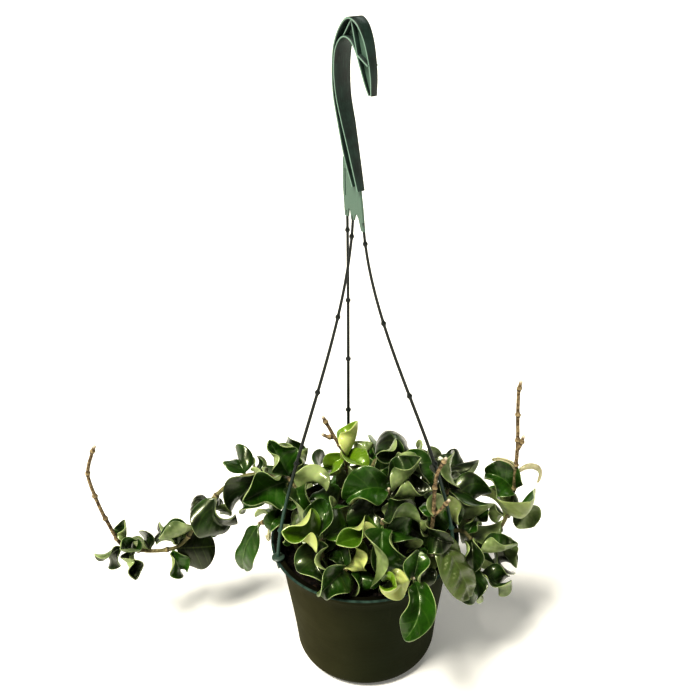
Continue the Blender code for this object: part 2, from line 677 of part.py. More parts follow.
def fits(leaf, grids, placed, fixed):
    """True where a leaf keeps clear of the pot, the stems, the legs and the leaves placed before it."""
    if not all(clear_of_pot(grid.reshape(-1, 3)) for grid in grids):
        return False
    low, high = grids[1].min((0, 1)) - GAP_OTHER_SHOOT, grids[1].max((0, 1)) + GAP_OTHER_SHOOT
    near = [p for p in placed if (p["low"] < high).all() and (p["high"] > low).all()]
    thin = [shell_tree(grid, LEAF_THICK / 2) for grid in grids]
    wide = [shell_tree(grid, LEAF_THICK / 2 + GAP_OTHER_SHOOT) for grid in grids]
    for name, tree in fixed:
        if name != leaf["shoot"] and (thin[0].overlap(tree) or thin[1].overlap(tree)):
            return False
    for other in near:
        shells = thin if other["shoot"] == leaf["shoot"] else wide
        if shells[0].overlap(other["trees"][0]) or shells[1].overlap(other["trees"][1]):
            return False
    placed.append({"shoot": leaf["shoot"], "low": low, "high": high, "trees": thin})
    return True


def leg_path(leg):
    """The middle line of a leg: a cubic from the plate straight down, out, and down into its clip."""
    along, over_rim = leg["plate"]
    start = np.array([along * math.cos(HOOK_TURN), along * math.sin(HOOK_TURN), HOOK_BASE + over_rim])
    angle = math.radians(leg["clip"])
    end = np.array([CLIP_CIRCLE * math.cos(angle), CLIP_CIRCLE * math.sin(angle), POT_HEIGHT + DISC_THICK])
    outward = (end - start) * (1, 1, 0)
    outward /= np.linalg.norm(outward)
    first = start + (0, 0, -leg["fall"]) + outward * LEG_LEAN
    last = end + (0, 0, leg["rise"]) - outward * LEG_LEAN
    t = np.linspace(0, 1, LEG_SAMPLES)[:, None]
    return (1 - t) ** 3 * start + 3 * (1 - t) ** 2 * t * first + 3 * (1 - t) * t**2 * last + t**3 * end


def paired_leaves(shoot, rng):
    """The opposite pairs of a shoot, each turned a quarter round the stem from the one before."""
    first, last, count, length = shoot["pairs"]
    places = np.linspace(first, last, count)
    tangents = smooth_path(shoot["points"], places + 0.05) - smooth_path(shoot["points"], places - 0.05)
    for k, (place, tangent) in enumerate(zip(places, tangents)):
        tangent /= np.linalg.norm(tangent)
        level = np.cross(tangent, PAIR_ASKEW)
        level /= np.linalg.norm(level)
        raised = np.cross(level, tangent)
        arm = raised if k % 2 else level
        for sign in (1, -1):
            way = sign * arm + PAIR_LEAN * tangent
            compass = math.degrees(math.atan2(way[1], way[0])) + rng.uniform(-15, 15)
            rise = math.degrees(math.asin(way[2] / np.linalg.norm(way))) + rng.uniform(-10, 10)
            form = RULE_FORMS[rng.integers(len(RULE_FORMS))]
            yield place, compass, rise, rng.uniform(-30, 30), length * rng.uniform(0.85, 1.1), form


def place_leaves():
    """Every leaf: those listed for each shoot, then its opposite pairs. A leaf that would touch another
    shoot, the pot or a leg is turned, slid along its stem and shortened a little, until it is clear, or
    else left out."""
    fixed = []
    for leg in LEGS:
        fixed.append(("leg", tube_tree(leg_path(leg)[::4], LEG_RADIUS_END * NUB_SWELL + GAP_FIXED)))
    angle = np.linspace(0, 2 * math.pi, RIM_SAMPLES)
    rim = np.stack([np.cos(angle), np.sin(angle), np.zeros(RIM_SAMPLES)], -1) * RIM_MIDDLE
    fixed.append(("rim", tube_tree(rim + (0, 0, POT_HEIGHT), RIM_RADIUS - RIM_MIDDLE + GAP_FIXED)))
    for shoot in SHOOTS:
        spots = np.linspace(0.5, len(shoot["points"]) - 1, 8 * len(shoot["points"]))
        path = smooth_path(shoot["points"], spots)
        fixed.append((shoot["name"], tube_tree(path, STEM_RADIUS * KNUCKLE_SWELL + GAP_FIXED)))
        for twig in shoot.get("side_twigs", ()):
            fixed.append((shoot["name"], tube_tree(np.array(twig), TWIG_RADIUS + GAP_FIXED)))
    orders = []
    for number, shoot in enumerate(SHOOTS):
        rng = np.random.default_rng(LISTED_SEED + number)
        orders += [(shoot, order, False, rng) for order in shoot["leaves"]]
    for number, shoot in enumerate(SHOOTS):
        rng = np.random.default_rng(PAIRED_SEED + number)
        orders += [(shoot, order, True, rng) for order in paired_leaves(shoot, rng)]
    placed, leaves = [], []
    for shoot, (place, compass, rise, roll, length, form), by_rule, rng in orders:
        leaf = {
            "shoot": shoot["name"], "form": varied(FORMS[form], by_rule, rng),
            "phase": rng.uniform(0, 2 * math.pi),
        }
        for attempt in range(TRIES):
            turn = rng.uniform(-1, 1, 4) * attempt
            root_place = min(place + turn[3] * SLIDE_STEP, len(shoot["points"]) - 1 - ROOT_SUNK)
            leaf["root"] = smooth_path(shoot["points"], [root_place])[0]
            leaf["compass"] = compass + turn[0] * TURN_STEP
            leaf["rise"] = rise + turn[1] * RISE_STEP
            leaf["roll"] = roll + turn[2] * TURN_STEP
            leaf["length"] = length * (1 - SHRINK_STEP * attempt)
            if fits(leaf, leaf_grids(leaf), placed, fixed):
                leaves.append(leaf)
                break
    return leaves


def row_places(leaf):
    """Where along a leaf its solid's rows stand; one that curls tightly has one row more, and a short one
    has one less."""
    curled = abs(leaf["form"]["bend"]) + abs(leaf["form"]["sweep"]) > TIGHT_CURL
    rows = ROWS + curled - (leaf["length"] < SHORT_LEAF)
    return np.concatenate([[0], np.linspace(PETIOLE, 1, rows)])


def leaf_object(leaf, collection):
    """A grid bent to the leaf's surface, split alike on both faces, and given its thickness."""
    along = row_places(leaf)
    rows = len(along) - 1
    bm = bmesh.new()
    bmesh.ops.create_grid(bm, x_segments=rows, y_segments=COLUMNS, size=1.0)
    surface = leaf_surface(leaf, along, np.linspace(-1, 1, COLUMNS + 1))
    for vert in bm.verts:
        i = round((vert.co.x + 1) / 2 * rows)
        j = round((vert.co.y + 1) / 2 * COLUMNS)
        vert.co = surface[i, j]
    bmesh.ops.remove_doubles(bm, verts=bm.verts, dist=1e-6)
    bmesh.ops.triangulate(bm, faces=bm.faces, quad_method="FIXED")
    obj = bmesh_object("leaf", bm, collection)
    skin = obj.modifiers.new("thickness", "SOLIDIFY")
    skin.thickness = LEAF_THICK
    skin.offset = 0
    return obj


def stem_object(shoot, collection):
    """The stem as a tube, thicker at the root, swollen a little at each knuckle."""
    points = shoot["points"]
    fine = smooth_path(points, np.linspace(0, len(points) - 1, 40 * len(points)))
    run = np.concatenate([[0], np.cumsum(np.linalg.norm(np.diff(fine, axis=0), axis=1))])
    count = max(4, round(run[-1] / STEM_STEP)) + 1
    spots = np.linspace(0, run[-1], count)
    route = np.stack([np.interp(spots, run, fine[:, k]) for k in range(3)], -1)
    share = spots / run[-1]
    radii = STEM_RADIUS + (TWIG_RADIUS - STEM_RADIUS) * share
    radii[3::3] *= KNUCKLE_SWELL
    radii[-1] = TWIG_RADIUS * TIP_SHARE
    return tube(shoot["name"], route, radii, collection)


def make_shoots(plant, leaf_green):
    leaves = place_leaves()
    for shoot in SHOOTS:
        stem = stem_object(shoot, plant)
        stem.data.materials.append(leaf_green)
        blades = collection_named("blades", plant)
        for leaf in leaves:
            if leaf["shoot"] == shoot["name"]:
                leaf_object(leaf, blades)
        for twig in shoot.get("side_twigs", ()):
            radii = np.linspace(TWIG_RADIUS, TWIG_RADIUS * TIP_SHARE, len(twig))
            tube("side_twig", twig, radii, blades)
        fuse(stem, blades, "MANIFOLD")


def clip_places():
    for leg in LEGS:
        angle = math.radians(leg["clip"])
        yield CLIP_CIRCLE * math.cos(angle), CLIP_CIRCLE * math.sin(angle)


def pot_outline(gap=0.0):
    """Inner profile from the axis up to the rim, over it, and down the outside to the axis again."""
    slope = math.atan2(WALL_TOP_RADIUS - FOOT_RADIUS - FOOT_CORNER, POT_HEIGHT - FOOT_CORNER)
    corner = np.linspace(-slope, -math.pi / 2, 4)
    outer = [(RIM_RADIUS, POT_HEIGHT), (RIM_RADIUS, POT_HEIGHT - RIM_THICK)]
    outer.append((WALL_TOP_RADIUS, POT_HEIGHT - RIM_THICK))
    outer.append((pot_radius(POT_HEIGHT - BAND_DEPTH), POT_HEIGHT - BAND_DEPTH))
    low_band = POT_HEIGHT - BAND_DEPTH - BAND_STEP
    outer.append((pot_radius(low_band) - BAND_STEP, low_band))
    outer += [(FOOT_RADIUS + FOOT_CORNER * math.cos(a), FOOT_CORNER * (1 + math.sin(a))) for a in corner]
    inner = [(0.0, POT_WALL), (FOOT_RADIUS, POT_WALL)]
    inner.append((FOOT_RADIUS + (FOOT_CORNER - POT_WALL) * 0.7, POT_WALL + (FOOT_CORNER - POT_WALL) * 0.3))
    inner.append((FOOT_RADIUS + FOOT_CORNER - POT_WALL, FOOT_CORNER))
    inner.append((WALL_TOP_RADIUS - POT_WALL, POT_HEIGHT))
    return inner, outer + [(0.0, 0.0)]


def make_pot(plant, cutters, dark_plastic):
    inner, outer = pot_outline()
    pot = turned("pot", inner + outer, POT_STEPS, plant, dark_plastic)
    holes = collection_named("pot_holes", cutters)
    rim_low, rim_high = POT_HEIGHT - RIM_THICK - CUT_PAST, POT_HEIGHT + CUT_PAST
    for k, (x, y) in enumerate(clip_places()):
        as_cutter(cylinder(f"clip_hole_{k}", (x, y), CLIP_HOLE_RADIUS, rim_low, rim_high, 10, holes))
    for k in range(DRAIN_HOLES):
        angle = math.pi * (0.25 + k * 2 / DRAIN_HOLES)
        centre = DRAIN_CIRCLE * math.cos(angle), DRAIN_CIRCLE * math.sin(angle)
        as_cutter(cylinder(f"drain_{k}", centre, DRAIN_RADIUS, -CUT_PAST, POT_WALL + CUT_PAST, 10, holes))
    cut = pot.modifiers.new("holes", "BOOLEAN")
    cut.operation = "DIFFERENCE"
    cut.operand_type = "COLLECTION"
    cut.collection = holes


def make_soil(plant, cutters, dark_soil):
    inner, _ = pot_outline()
    low = [(max(r - SEAT_GAP, 0), z + SEAT_GAP * (z < 0.01)) for r, z in inner[:4]]
    slope = (inner[4][0] - inner[3][0]) / (inner[4][1] - inner[3][1])
    edge = inner[3][0] + slope * (SOIL_TOP - inner[3][1]) - SEAT_GAP
    shoulder = (edge * SOIL_SHOULDER, SOIL_TOP + SOIL_CROWN * (1 - SOIL_SHOULDER**3))
    profile = [(0.0, SOIL_TOP + SOIL_CROWN), shoulder, (edge, SOIL_TOP)]
    soil = turned("soil", profile + low[::-1], SOIL_STEPS, plant, dark_soil)
    holes = collection_named("stem_holes", cutters)
    for k, shoot in enumerate(SHOOTS):
        root = shoot["points"][0]
        radius = STEM_RADIUS + STEM_HOLE_SLACK
        low_end = root[2] - SEAT_GAP
        as_cutter(cylinder(f"stem_hole_{k}", root, radius, low_end, SOIL_TOP + CUT_PAST, 8, holes))
    cut = soil.modifiers.new("holes", "BOOLEAN")
    cut.operation = "DIFFERENCE"
    cut.operand_type = "COLLECTION"
    cut.collection = holes


def hook_point(along, over_rim, off=0.0):
    """World place of a point in the hook's plane: along its width, over the rim, and off the plane."""
    c, s = math.cos(HOOK_TURN), math.sin(HOOK_TURN)
    return along * c - off * s, along * s + off * c, HOOK_BASE + over_rim


def strap(name, path, half_widths, thick, collection):
    """A flat band that follows a path in the hook's plane and stands across it, its width changing."""
    path = np.asarray(path, float)
    ways = np.gradient(path, axis=0)
    ways /= np.linalg.norm(ways, axis=1)[:, None]
    normals = np.stack([-ways[:, 1], ways[:, 0]], -1) * thick / 2
    bm = bmesh.new()
    rings = []
    for point, normal, half in zip(path, normals, half_widths):
        over, under = point + normal, point - normal
        corners = ((over, -half), (over, half), (under, half), (under, -half))
        rings.append([bm.verts.new(hook_point(*flat, off)) for flat, off in corners])
    for a, b in zip(rings, rings[1:]):
        for k in range(4):
            bm.faces.new((a[k], a[(k + 1) % 4], b[(k + 1) % 4], b[k]))
    bm.faces.new(rings[0][::-1])
    bm.faces.new(rings[-1])
    bmesh.ops.recalc_face_normals(bm, faces=bm.faces)
    return bmesh_object(name, bm, collection)


def web(collection):
    """The thin sheet between the flanges and the plate under them, cut from one outline."""
    curve = bpy.data.curves.new("web", "CURVE")
    curve.dimensions = "2D"
    curve.fill_mode = "BOTH"
    curve.extrude = WEB_THICK / 2
    sheet = OUTER_FLANGE[1:] + INNER_FLANGE[::-1] + PLATE[::-1][1:-1]
    for outline in (sheet, SLOT):
        spline = curve.splines.new("POLY")
        spline.points.add(len(outline) - 1)
        spline.use_cyclic_u = True
        for knot, (along, over_rim) in zip(spline.points, outline):
            knot.co = (along, over_rim, 0, 1)
    holder = bpy.data.objects.new("web_curve", curve)
    collection.objects.link(holder)
    mesh = evaluated_mesh(holder)
    bpy.data.objects.remove(holder)
    bm = bmesh.new()
    bm.from_mesh(mesh)
    bmesh.ops.remove_doubles(bm, verts=bm.verts, dist=1e-6)
    for vert in bm.verts:
        vert.co = hook_point(vert.co.x, vert.co.y, vert.co.z)
    bmesh.ops.recalc_face_normals(bm, faces=bm.faces)
    return bmesh_object("web", bm, collection)


def make_leg(leg, collection):
    """A leg that thickens towards its clip, with a nub every NUB_SPACING, its stop disc, pin and barb."""
    path = leg_path(leg)
    run = np.concatenate([[0], np.cumsum(np.linalg.norm(np.diff(path, axis=0), axis=1))])
    plain = np.linspace(0, run[-1], LEG_POINTS)
    nubs = NUB_START + NUB_SPACING * np.arange(NUB_COUNT)
    near = np.abs(plain[:, None] - nubs[None]).min(1) < NUB_LENGTH * 2
    spots = np.sort(np.concatenate([plain[~near], nubs - NUB_LENGTH, nubs, nubs + NUB_LENGTH]))
    radii = LEG_RADIUS_TOP + (LEG_RADIUS_END - LEG_RADIUS_TOP) * spots / run[-1]
    radii[np.isin(spots, nubs)] *= NUB_SWELL
    route = np.stack([np.interp(spots, run, path[:, k]) for k in range(3)], -1)
    tube("leg", route, radii, collection)
    x, y = path[-1, :2]
    disc_low = POT_HEIGHT + SEAT_GAP
    barb_top = POT_HEIGHT - RIM_THICK - SEAT_GAP
    cylinder("disc", (x, y), DISC_RADIUS, disc_low, disc_low + DISC_THICK, 12, collection)
    cylinder("pin", (x, y), PIN_RADIUS, barb_top - PIN_SUNK, POT_HEIGHT + DISC_THICK, 8, collection)
    cylinder("barb", (x, y), BARB_TIP_RADIUS, barb_top - BARB_LENGTH, barb_top, 8, collection, BARB_RADIUS)


def make_hanger(plant, green_plastic):
    pieces = collection_named("hanger_pieces", plant)
    hanger = web(plant)
    hanger.name = "hanger"
    hanger.data.materials.append(green_plastic)
    strap("outer_flange", OUTER_FLANGE, OUTER_HALF_WIDTHS, FLANGE_THICK, pieces)
    strap("inner_flange", INNER_FLANGE, INNER_HALF_WIDTHS, FLANGE_THICK, pieces)
    for k, (low, high) in enumerate(RIBS):
        middle = ((low[0] + high[0]) / 2, (low[1] + high[1]) / 2)
        strap(f"rib_{k}", (low, middle, high), (RIB_HALF_WIDTH,) * 3, FLANGE_THICK, pieces)
    for leg in LEGS:
        make_leg(leg, pieces)
    fuse(hanger, pieces)


def main():
    for obj in list(bpy.data.objects):
        bpy.data.objects.remove(obj)
    scene = bpy.context.scene.collection
    plant = collection_named("hindu_rope_plant", scene)
    cutters = collection_named("cutters", scene)
    dark_plastic = material_named("pot plastic", (0.20, 0.19, 0.13), 0.55)
    green_plastic = material_named("hanger plastic", (0.22, 0.32, 0.26), 0.45)
    dark_soil = material_named("potting soil", (0.10, 0.08, 0.06), 0.95)
    leaf_green = material_named("leaf", (0.20, 0.36, 0.12), 0.3)
    make_pot(plant, cutters, dark_plastic)
    make_soil(plant, cutters, dark_soil)
    make_hanger(plant, green_plastic)
    make_shoots(plant, leaf_green)


main()
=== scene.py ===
"""Dressed hindu rope plant: a finer pot, hanger, soil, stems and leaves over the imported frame.
Metres, +Z up, origin at the centre of the pot's foot, +X right and +Y away from the camera. The sizes and
the rule for the leaves are those of the part's source, so each leaf lies where its solid lies."""

import functools
import json
import math

import bmesh
import bpy
import numpy as np
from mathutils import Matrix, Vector
from mathutils.bvhtree import BVHTree

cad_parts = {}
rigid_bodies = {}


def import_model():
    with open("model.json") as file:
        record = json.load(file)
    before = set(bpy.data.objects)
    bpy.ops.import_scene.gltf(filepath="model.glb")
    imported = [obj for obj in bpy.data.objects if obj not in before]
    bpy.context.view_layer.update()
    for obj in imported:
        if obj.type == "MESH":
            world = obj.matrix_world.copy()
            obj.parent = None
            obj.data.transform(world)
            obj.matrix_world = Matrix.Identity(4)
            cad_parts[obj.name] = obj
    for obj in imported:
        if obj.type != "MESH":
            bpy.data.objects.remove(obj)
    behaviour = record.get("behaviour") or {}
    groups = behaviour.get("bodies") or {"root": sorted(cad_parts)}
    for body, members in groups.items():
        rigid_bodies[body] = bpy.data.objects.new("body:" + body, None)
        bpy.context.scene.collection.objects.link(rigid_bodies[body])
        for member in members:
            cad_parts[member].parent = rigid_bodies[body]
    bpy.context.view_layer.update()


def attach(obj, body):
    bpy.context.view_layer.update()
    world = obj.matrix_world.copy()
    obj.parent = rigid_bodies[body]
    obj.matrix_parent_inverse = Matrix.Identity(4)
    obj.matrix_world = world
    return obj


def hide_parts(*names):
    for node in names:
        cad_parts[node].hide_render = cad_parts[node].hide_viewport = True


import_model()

# Pot: a 6 inch nursery pot, injection moulded in one piece from polypropylene. It has a thin wall with a
# low band at the top, a flat rim with a raised edge and three holes for the clips of the hanger, a rounded
# foot and four drain holes.
POT_HEIGHT = 0.115
RIM_RADIUS = 0.0762
RIM_THICK = 0.0022
WALL_TOP_RADIUS = 0.0714
BAND_DEPTH = 0.011
BAND_STEP = 0.0008
FOOT_RADIUS = 0.047
FOOT_CORNER = 0.0118
POT_WALL = 0.0016
EDGE_WIDTH = 0.0021
EDGE_HEIGHT = 0.0007
POT_SIDES = 144
DRAIN_HOLES = 4
DRAIN_RADIUS = 0.004
DRAIN_CIRCLE = 0.034
CLIP_CIRCLE = 0.074
CLIP_HOLE_RADIUS = 0.0015
CUT_PAST = 0.005

# Each leg of the hanger: where it leaves the plate (along the hook, height over the rim), the compass angle
# of its clip, and how far it runs straight down from the plate and up from the clip
LEGS = (
    {"plate": (-0.0105, 0.268), "clip": 203, "fall": 0.090, "rise": 0.070},
    {"plate": (0.0010, 0.266), "clip": 340, "fall": 0.090, "rise": 0.085},
    {"plate": (-0.0172, 0.270), "clip": 101, "fall": 0.085, "rise": 0.066},
)

scene = bpy.context.scene
BLEND = {"data_type": "RGBA", "out": 2}
EASE = {"interpolation_type": "SMOOTHSTEP"}


def put(socket, value):
    """Links a socket to another, or sets its value; a hex sRGB colour is turned to linear first."""
    if isinstance(value, bpy.types.NodeSocket):
        socket.id_data.links.new(value, socket)
        return
    if isinstance(value, str):
        channels = [int(value[k:k + 2], 16) / 255 for k in (1, 3, 5)]
        value = (*(((c + 0.055) / 1.055) ** 2.4 if c > 0.04045 else c / 12.92 for c in channels), 1)
    socket.default_value = value


def add(tree, kind, sockets, out=0, **settings):
    """A node with its settings, and its sockets set or linked; gives back one of its outputs."""
    node = tree.nodes.new("ShaderNode" + kind)
    for name, value in settings.items():
        setattr(node, name, value)
    for name, value in sockets.items():
        put(node.inputs[name], value)
    return node.outputs[out]


def new_material(name):
    """An empty material: itself, its node tree and the sockets of its shader."""
    material = bpy.data.materials.new(name)
    material.use_nodes = True
    return material, material.node_tree, material.node_tree.nodes["Principled BSDF"].inputs


def mesh_piece(name, points, blocks, values, material):
    """A piece from an array of points, arrays of faces, and one number for each point under each name."""
    mesh = bpy.data.meshes.new(name)
    mesh.from_pydata(points, [], [face for block in blocks for face in block.tolist()])
    for label, numbers in values.items():
        layer = mesh.attributes.new(label, "FLOAT", "POINT")
        layer.data.foreach_set("value", np.ascontiguousarray(np.broadcast_to(numbers, len(points)), np.float32))
    mesh.materials.append(material)
    mesh.shade_smooth()
    piece = bpy.data.objects.new(name, mesh)
    scene.collection.objects.link(piece)
    return piece


def final_mesh(thing):
    """The mesh that an object shows, with its modifiers."""
    bpy.context.view_layer.update()
    return bpy.data.meshes.new_from_object(thing.evaluated_get(bpy.context.evaluated_depsgraph_get()))


def ring_quads(rings, sides):
    """Faces between rings of points, the number of each point, and that of the next one round its ring."""
    index = np.arange(rings * sides).reshape(rings, sides)
    turn = np.roll(index, -1, axis=1)
    return np.stack([index[:-1], turn[:-1], turn[1:], index[1:]], -1).reshape(-1, 4), index, turn


def turned(profile, sides):
    """A closed body turned about Z: radius and height run along the profile, the angle round it, and a
    point on the axis closes each end."""
    angle = np.linspace(0, 2 * math.pi, sides, endpoint=False)
    profile = np.asarray(profile, float)
    ring = np.stack([np.cos(angle), np.sin(angle)], -1)
    flat = profile[:, None, :1] * ring[None]
    points = np.concatenate([flat, np.broadcast_to(profile[:, None, 1:], flat[..., :1].shape)], -1)
    points = np.vstack([points.reshape(-1, 3), (0, 0, profile[0, 1]), (0, 0, profile[-1, 1])])
    quads, index, turn = ring_quads(len(profile), sides)
    first, last = np.full(sides, len(points) - 2), np.full(sides, len(points) - 1)
    ends = [np.stack([index[0], turn[0], first], -1), np.stack([turn[-1], index[-1], last], -1)]
    return points, [quads[:, ::-1], *ends]


def pot_radius(height):
    """Outer radius of the pot's wall at a height."""
    slope = (WALL_TOP_RADIUS - FOOT_RADIUS - FOOT_CORNER) / (POT_HEIGHT - FOOT_CORNER)
    return FOOT_RADIUS + FOOT_CORNER + slope * (height - FOOT_CORNER)


def clip_place(leg):
    """Where a clip goes through the rim, from its compass angle."""
    angle = math.radians(leg["clip"])
    return CLIP_CIRCLE * math.cos(angle), CLIP_CIRCLE * math.sin(angle)


def hole(name, x, y, radius, low, high):
    """An upright cutter with 24 sides."""
    bm = bmesh.new()
    bmesh.ops.create_cone(bm, cap_ends=True, segments=24, radius1=radius, radius2=radius, depth=high - low)
    bmesh.ops.translate(bm, verts=bm.verts, vec=(x, y, (low + high) / 2))
    mesh = bpy.data.meshes.new(name)
    bm.to_mesh(mesh)
    bm.free()
    holes.objects.link(bpy.data.objects.new(name, mesh))


# Polypropylene, moulded and weathered: dull olive-brown, with water spots of 1 mm and soft upright scuffs.
# It carries painted light and shade: lighter at the left and darker and greener at the right, a painted shade
# away from the key light; darker inside, a painted shade in the pot; and a grey blue-green painted highlight
# along its raised edge.
# Each colour in the list is laid over the ones before it, where its pattern rises from low to high.
pot_plastic, tree, shader = new_material("moulded_polypropylene_weathered_painted_light_and_shade")
place = add(tree, "TexCoord", {}, "Object")
across = add(tree, "SeparateXYZ", {0: place})
drawn = add(tree, "Mapping", {"Vector": place, "Scale": (3, 3, 0.25)})
level = add(tree, "Mapping", {"Vector": place, "Scale": (0.05, 0.05, 9)})
cloud, spots, grain, scuffs, rings = (
    add(tree, "TexNoise", {"Vector": way, "Scale": 1000 / size, "Detail": detail})
    for way, size, detail in ((place, 33, 4), (place, 1.1, 2), (place, 0.7, 3), (drawn, 17, 3), (level, 42, 3))
)
body = "#3c3a22"
# Painted shade by X: lighter at the left, darker and greener at the right, away from the key light
for mask, low, high, most, colour in (
    (across, -0.065, 0.02, 1, "#1e2412"), (across, 0.025, 0.06, 0.6, "#2e331f"),
    (cloud, 0.35, 0.8, 0.4, "#242414"), (spots, 0.68, 0.8, 0.25, "#42402c"), (scuffs, 0.62, 0.8, 0.2, "#302f1c"),
):
    much = add(tree, "MapRange", {0: mask, 1: low, 2: high, 4: most}, **EASE)
    body = add(tree, "Mix", {0: much, 6: body, 7: colour}, **BLEND)
# Painted highlight on the rim's raised edge: a grey blue-green line, streaked by the scuffs, laid over last
much = add(tree, "MapRange", {0: scuffs, 1: 0.3, 2: 0.7}, **EASE)
edge = add(tree, "Mix", {0: much, 6: "#22322d", 7: "#3c5149"}, **BLEND)
painted_inside_shade, rubbed = (add(tree, "Attribute", {}, "Fac", attribute_name=name) for name in ("painted_inside_shade", "rubbed"))
# Painted shade inside the pot and on the inner part of the rim, uneven by the cloud
much = add(tree, "MapRange", {0: cloud, 1: 0.2, 2: 0.6, 3: 0.5, 4: 0.9}, **EASE)
much = add(tree, "Math", {0: painted_inside_shade, 1: much}, operation="MULTIPLY")
body = add(tree, "Mix", {0: much, 6: body, 7: "#0d0b06"}, **BLEND)
put(shader["Base Color"], add(tree, "Mix", {0: rubbed, 6: body, 7: edge}, **BLEND))
put(shader["Roughness"], add(tree, "MapRange", {0: cloud, 1: 0.2, 2: 0.8, 3: 0.68, 4: 0.85}))
shader["Specular IOR Level"].default_value = 0.1
put(shader["Specular Tint"], "#d4d09a")
low = add(tree, "Bump", {"Height": rings, "Distance": 0.0006, "Strength": 0.35})
put(shader["Normal"], add(tree, "Bump", {"Height": grain, "Distance": 0.00012, "Strength": 0.6, "Normal": low}))

# The wall's profile, from the axis up the inside, over the rim and its rounded edge, and down the outside.
# Steps of 0.1 to 1 mm round its corners.
slope = math.atan2(WALL_TOP_RADIUS - FOOT_RADIUS - FOOT_CORNER, POT_HEIGHT - FOOT_CORNER)
corner = np.linspace(-slope, -math.pi / 2, 16)
edge_round = EDGE_WIDTH / 2
round_edge = [
    (RIM_RADIUS - edge_round + edge_round * math.cos(a), POT_HEIGHT - edge_round + edge_round * math.sin(a))
    for a in np.linspace(math.pi * 0.85, -math.pi / 2, 14)
]
low_band = POT_HEIGHT - BAND_DEPTH - BAND_STEP
inside = [(FOOT_RADIUS * share, POT_WALL) for share in (0.05, 0.5, 1)]
inside.append((FOOT_RADIUS + (FOOT_CORNER - POT_WALL) * 0.7, POT_WALL + (FOOT_CORNER - POT_WALL) * 0.3))
inside.append((FOOT_RADIUS + FOOT_CORNER - POT_WALL, FOOT_CORNER))
inside += [(pot_radius(z) - POT_WALL, z) for z in np.linspace(FOOT_CORNER + 0.01, POT_HEIGHT - 0.0022, 14)]
inside += [
    (WALL_TOP_RADIUS - POT_WALL + 0.0003, POT_HEIGHT - EDGE_HEIGHT - 0.0004),
    (WALL_TOP_RADIUS - POT_WALL + 0.001, POT_HEIGHT - EDGE_HEIGHT),
    (RIM_RADIUS - EDGE_WIDTH - 0.0002, POT_HEIGHT - EDGE_HEIGHT - 0.0001),
]
outside = [(WALL_TOP_RADIUS + 0.0006, POT_HEIGHT - RIM_THICK), (WALL_TOP_RADIUS, POT_HEIGHT - RIM_THICK - 0.0008)]
outside += [(pot_radius(z), z) for z in np.linspace(POT_HEIGHT - RIM_THICK - 0.002, POT_HEIGHT - BAND_DEPTH, 4)]
outside += [(pot_radius(low_band + 0.0003) - BAND_STEP * 0.8, low_band + 0.0003)]
outside += [
    (pot_radius(z) - BAND_STEP * min(1, (z - FOOT_CORNER) / 0.02), z)
    for z in np.linspace(low_band, FOOT_CORNER + 0.004, 16)
]
outside += [(FOOT_RADIUS + FOOT_CORNER * math.cos(a), FOOT_CORNER * (1 + math.sin(a))) for a in corner]
outside += [(FOOT_RADIUS * share, 0.0) for share in (0.9, 0.5, 0.05)]
profile = np.array(inside + round_edge + outside)
# on_edge marks the raised edge, for the painted highlight
on_edge = (profile[:, 0] > RIM_RADIUS - EDGE_WIDTH - 0.0001) & (profile[:, 1] > POT_HEIGHT - 0.001)
# in_pot marks the inside of the wall and the inner part of the rim's top, for the painted shade
in_pot = np.arange(len(profile)) < len(inside)
points, blocks = turned(profile, POT_SIDES)
values = {"rubbed": [*np.repeat(on_edge, POT_SIDES), 0, 0], "painted_inside_shade": [*np.repeat(in_pot, POT_SIDES), 1, 0]}
pot = mesh_piece("dressed_pot", points, blocks, values, pot_plastic)

# The holes are cut once, and the cutters go
holes = bpy.data.collections.new("pot_holes")
scene.collection.children.link(holes)
for leg in LEGS:
    under_rim = POT_HEIGHT - RIM_THICK - CUT_PAST
    hole("clip_hole", *clip_place(leg), CLIP_HOLE_RADIUS, under_rim, POT_HEIGHT + CUT_PAST)
for k in range(DRAIN_HOLES):
    angle = math.pi * (0.25 + k * 2 / DRAIN_HOLES)
    spot = DRAIN_CIRCLE * math.cos(angle), DRAIN_CIRCLE * math.sin(angle)
    hole("drain_hole", *spot, DRAIN_RADIUS, -CUT_PAST, POT_WALL + CUT_PAST)
cut = pot.modifiers.new("holes", "BOOLEAN")
cut.operation, cut.operand_type, cut.collection, cut.solver = "DIFFERENCE", "COLLECTION", holes, "EXACT"
cut_mesh = final_mesh(pot)
pot.modifiers.clear()
pot.data = cut_mesh
for cutter in list(holes.objects):
    bpy.data.objects.remove(cutter)
bpy.data.collections.remove(holes)
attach(pot, "root")
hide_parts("pot")

# Hanger: hook, plate and three legs, injection moulded in one piece from polypropylene. The hook is two
# flanges round a thin web with ribs; each leg ends in a stop disc and a barbed pin that snaps into the rim.
HOOK_TURN = math.radians(-54)
WEB_THICK = 0.0016
WEB_BEVEL = 0.0002
WEB_SAMPLES = 60
FLANGE_THICK = 0.0015
RIB_HALF_WIDTH = 0.004
ASKEW = (0.31, 0.42, 0.85)
RIB_FINE = 4
FLANGE_FINE = 6
BAND_ROUND = 0.32
LEG_RADIUS_TOP = 0.00105
LEG_RADIUS_END = 0.0016
LEG_SLIM = 0.88
LEG_LEAN = 0.005
LEG_SAMPLES = 200
LEG_STEP = 0.0011
LEG_SIDES = 14
NUB_SPACING = 0.0593
NUB_START = 0.015
NUB_COUNT = 5
NUB_SWELL = 1.9
NUB_LENGTH = 0.0022
SEAT_GAP = 0.0003
PIN_RADIUS = 0.0012
DISC_RADIUS = 0.005
DISC_THICK = 0.0016
DISC_SIDES = 28
BARB_RADIUS = 0.0022
BARB_TIP_RADIUS = 0.0008
BARB_LENGTH = 0.0075

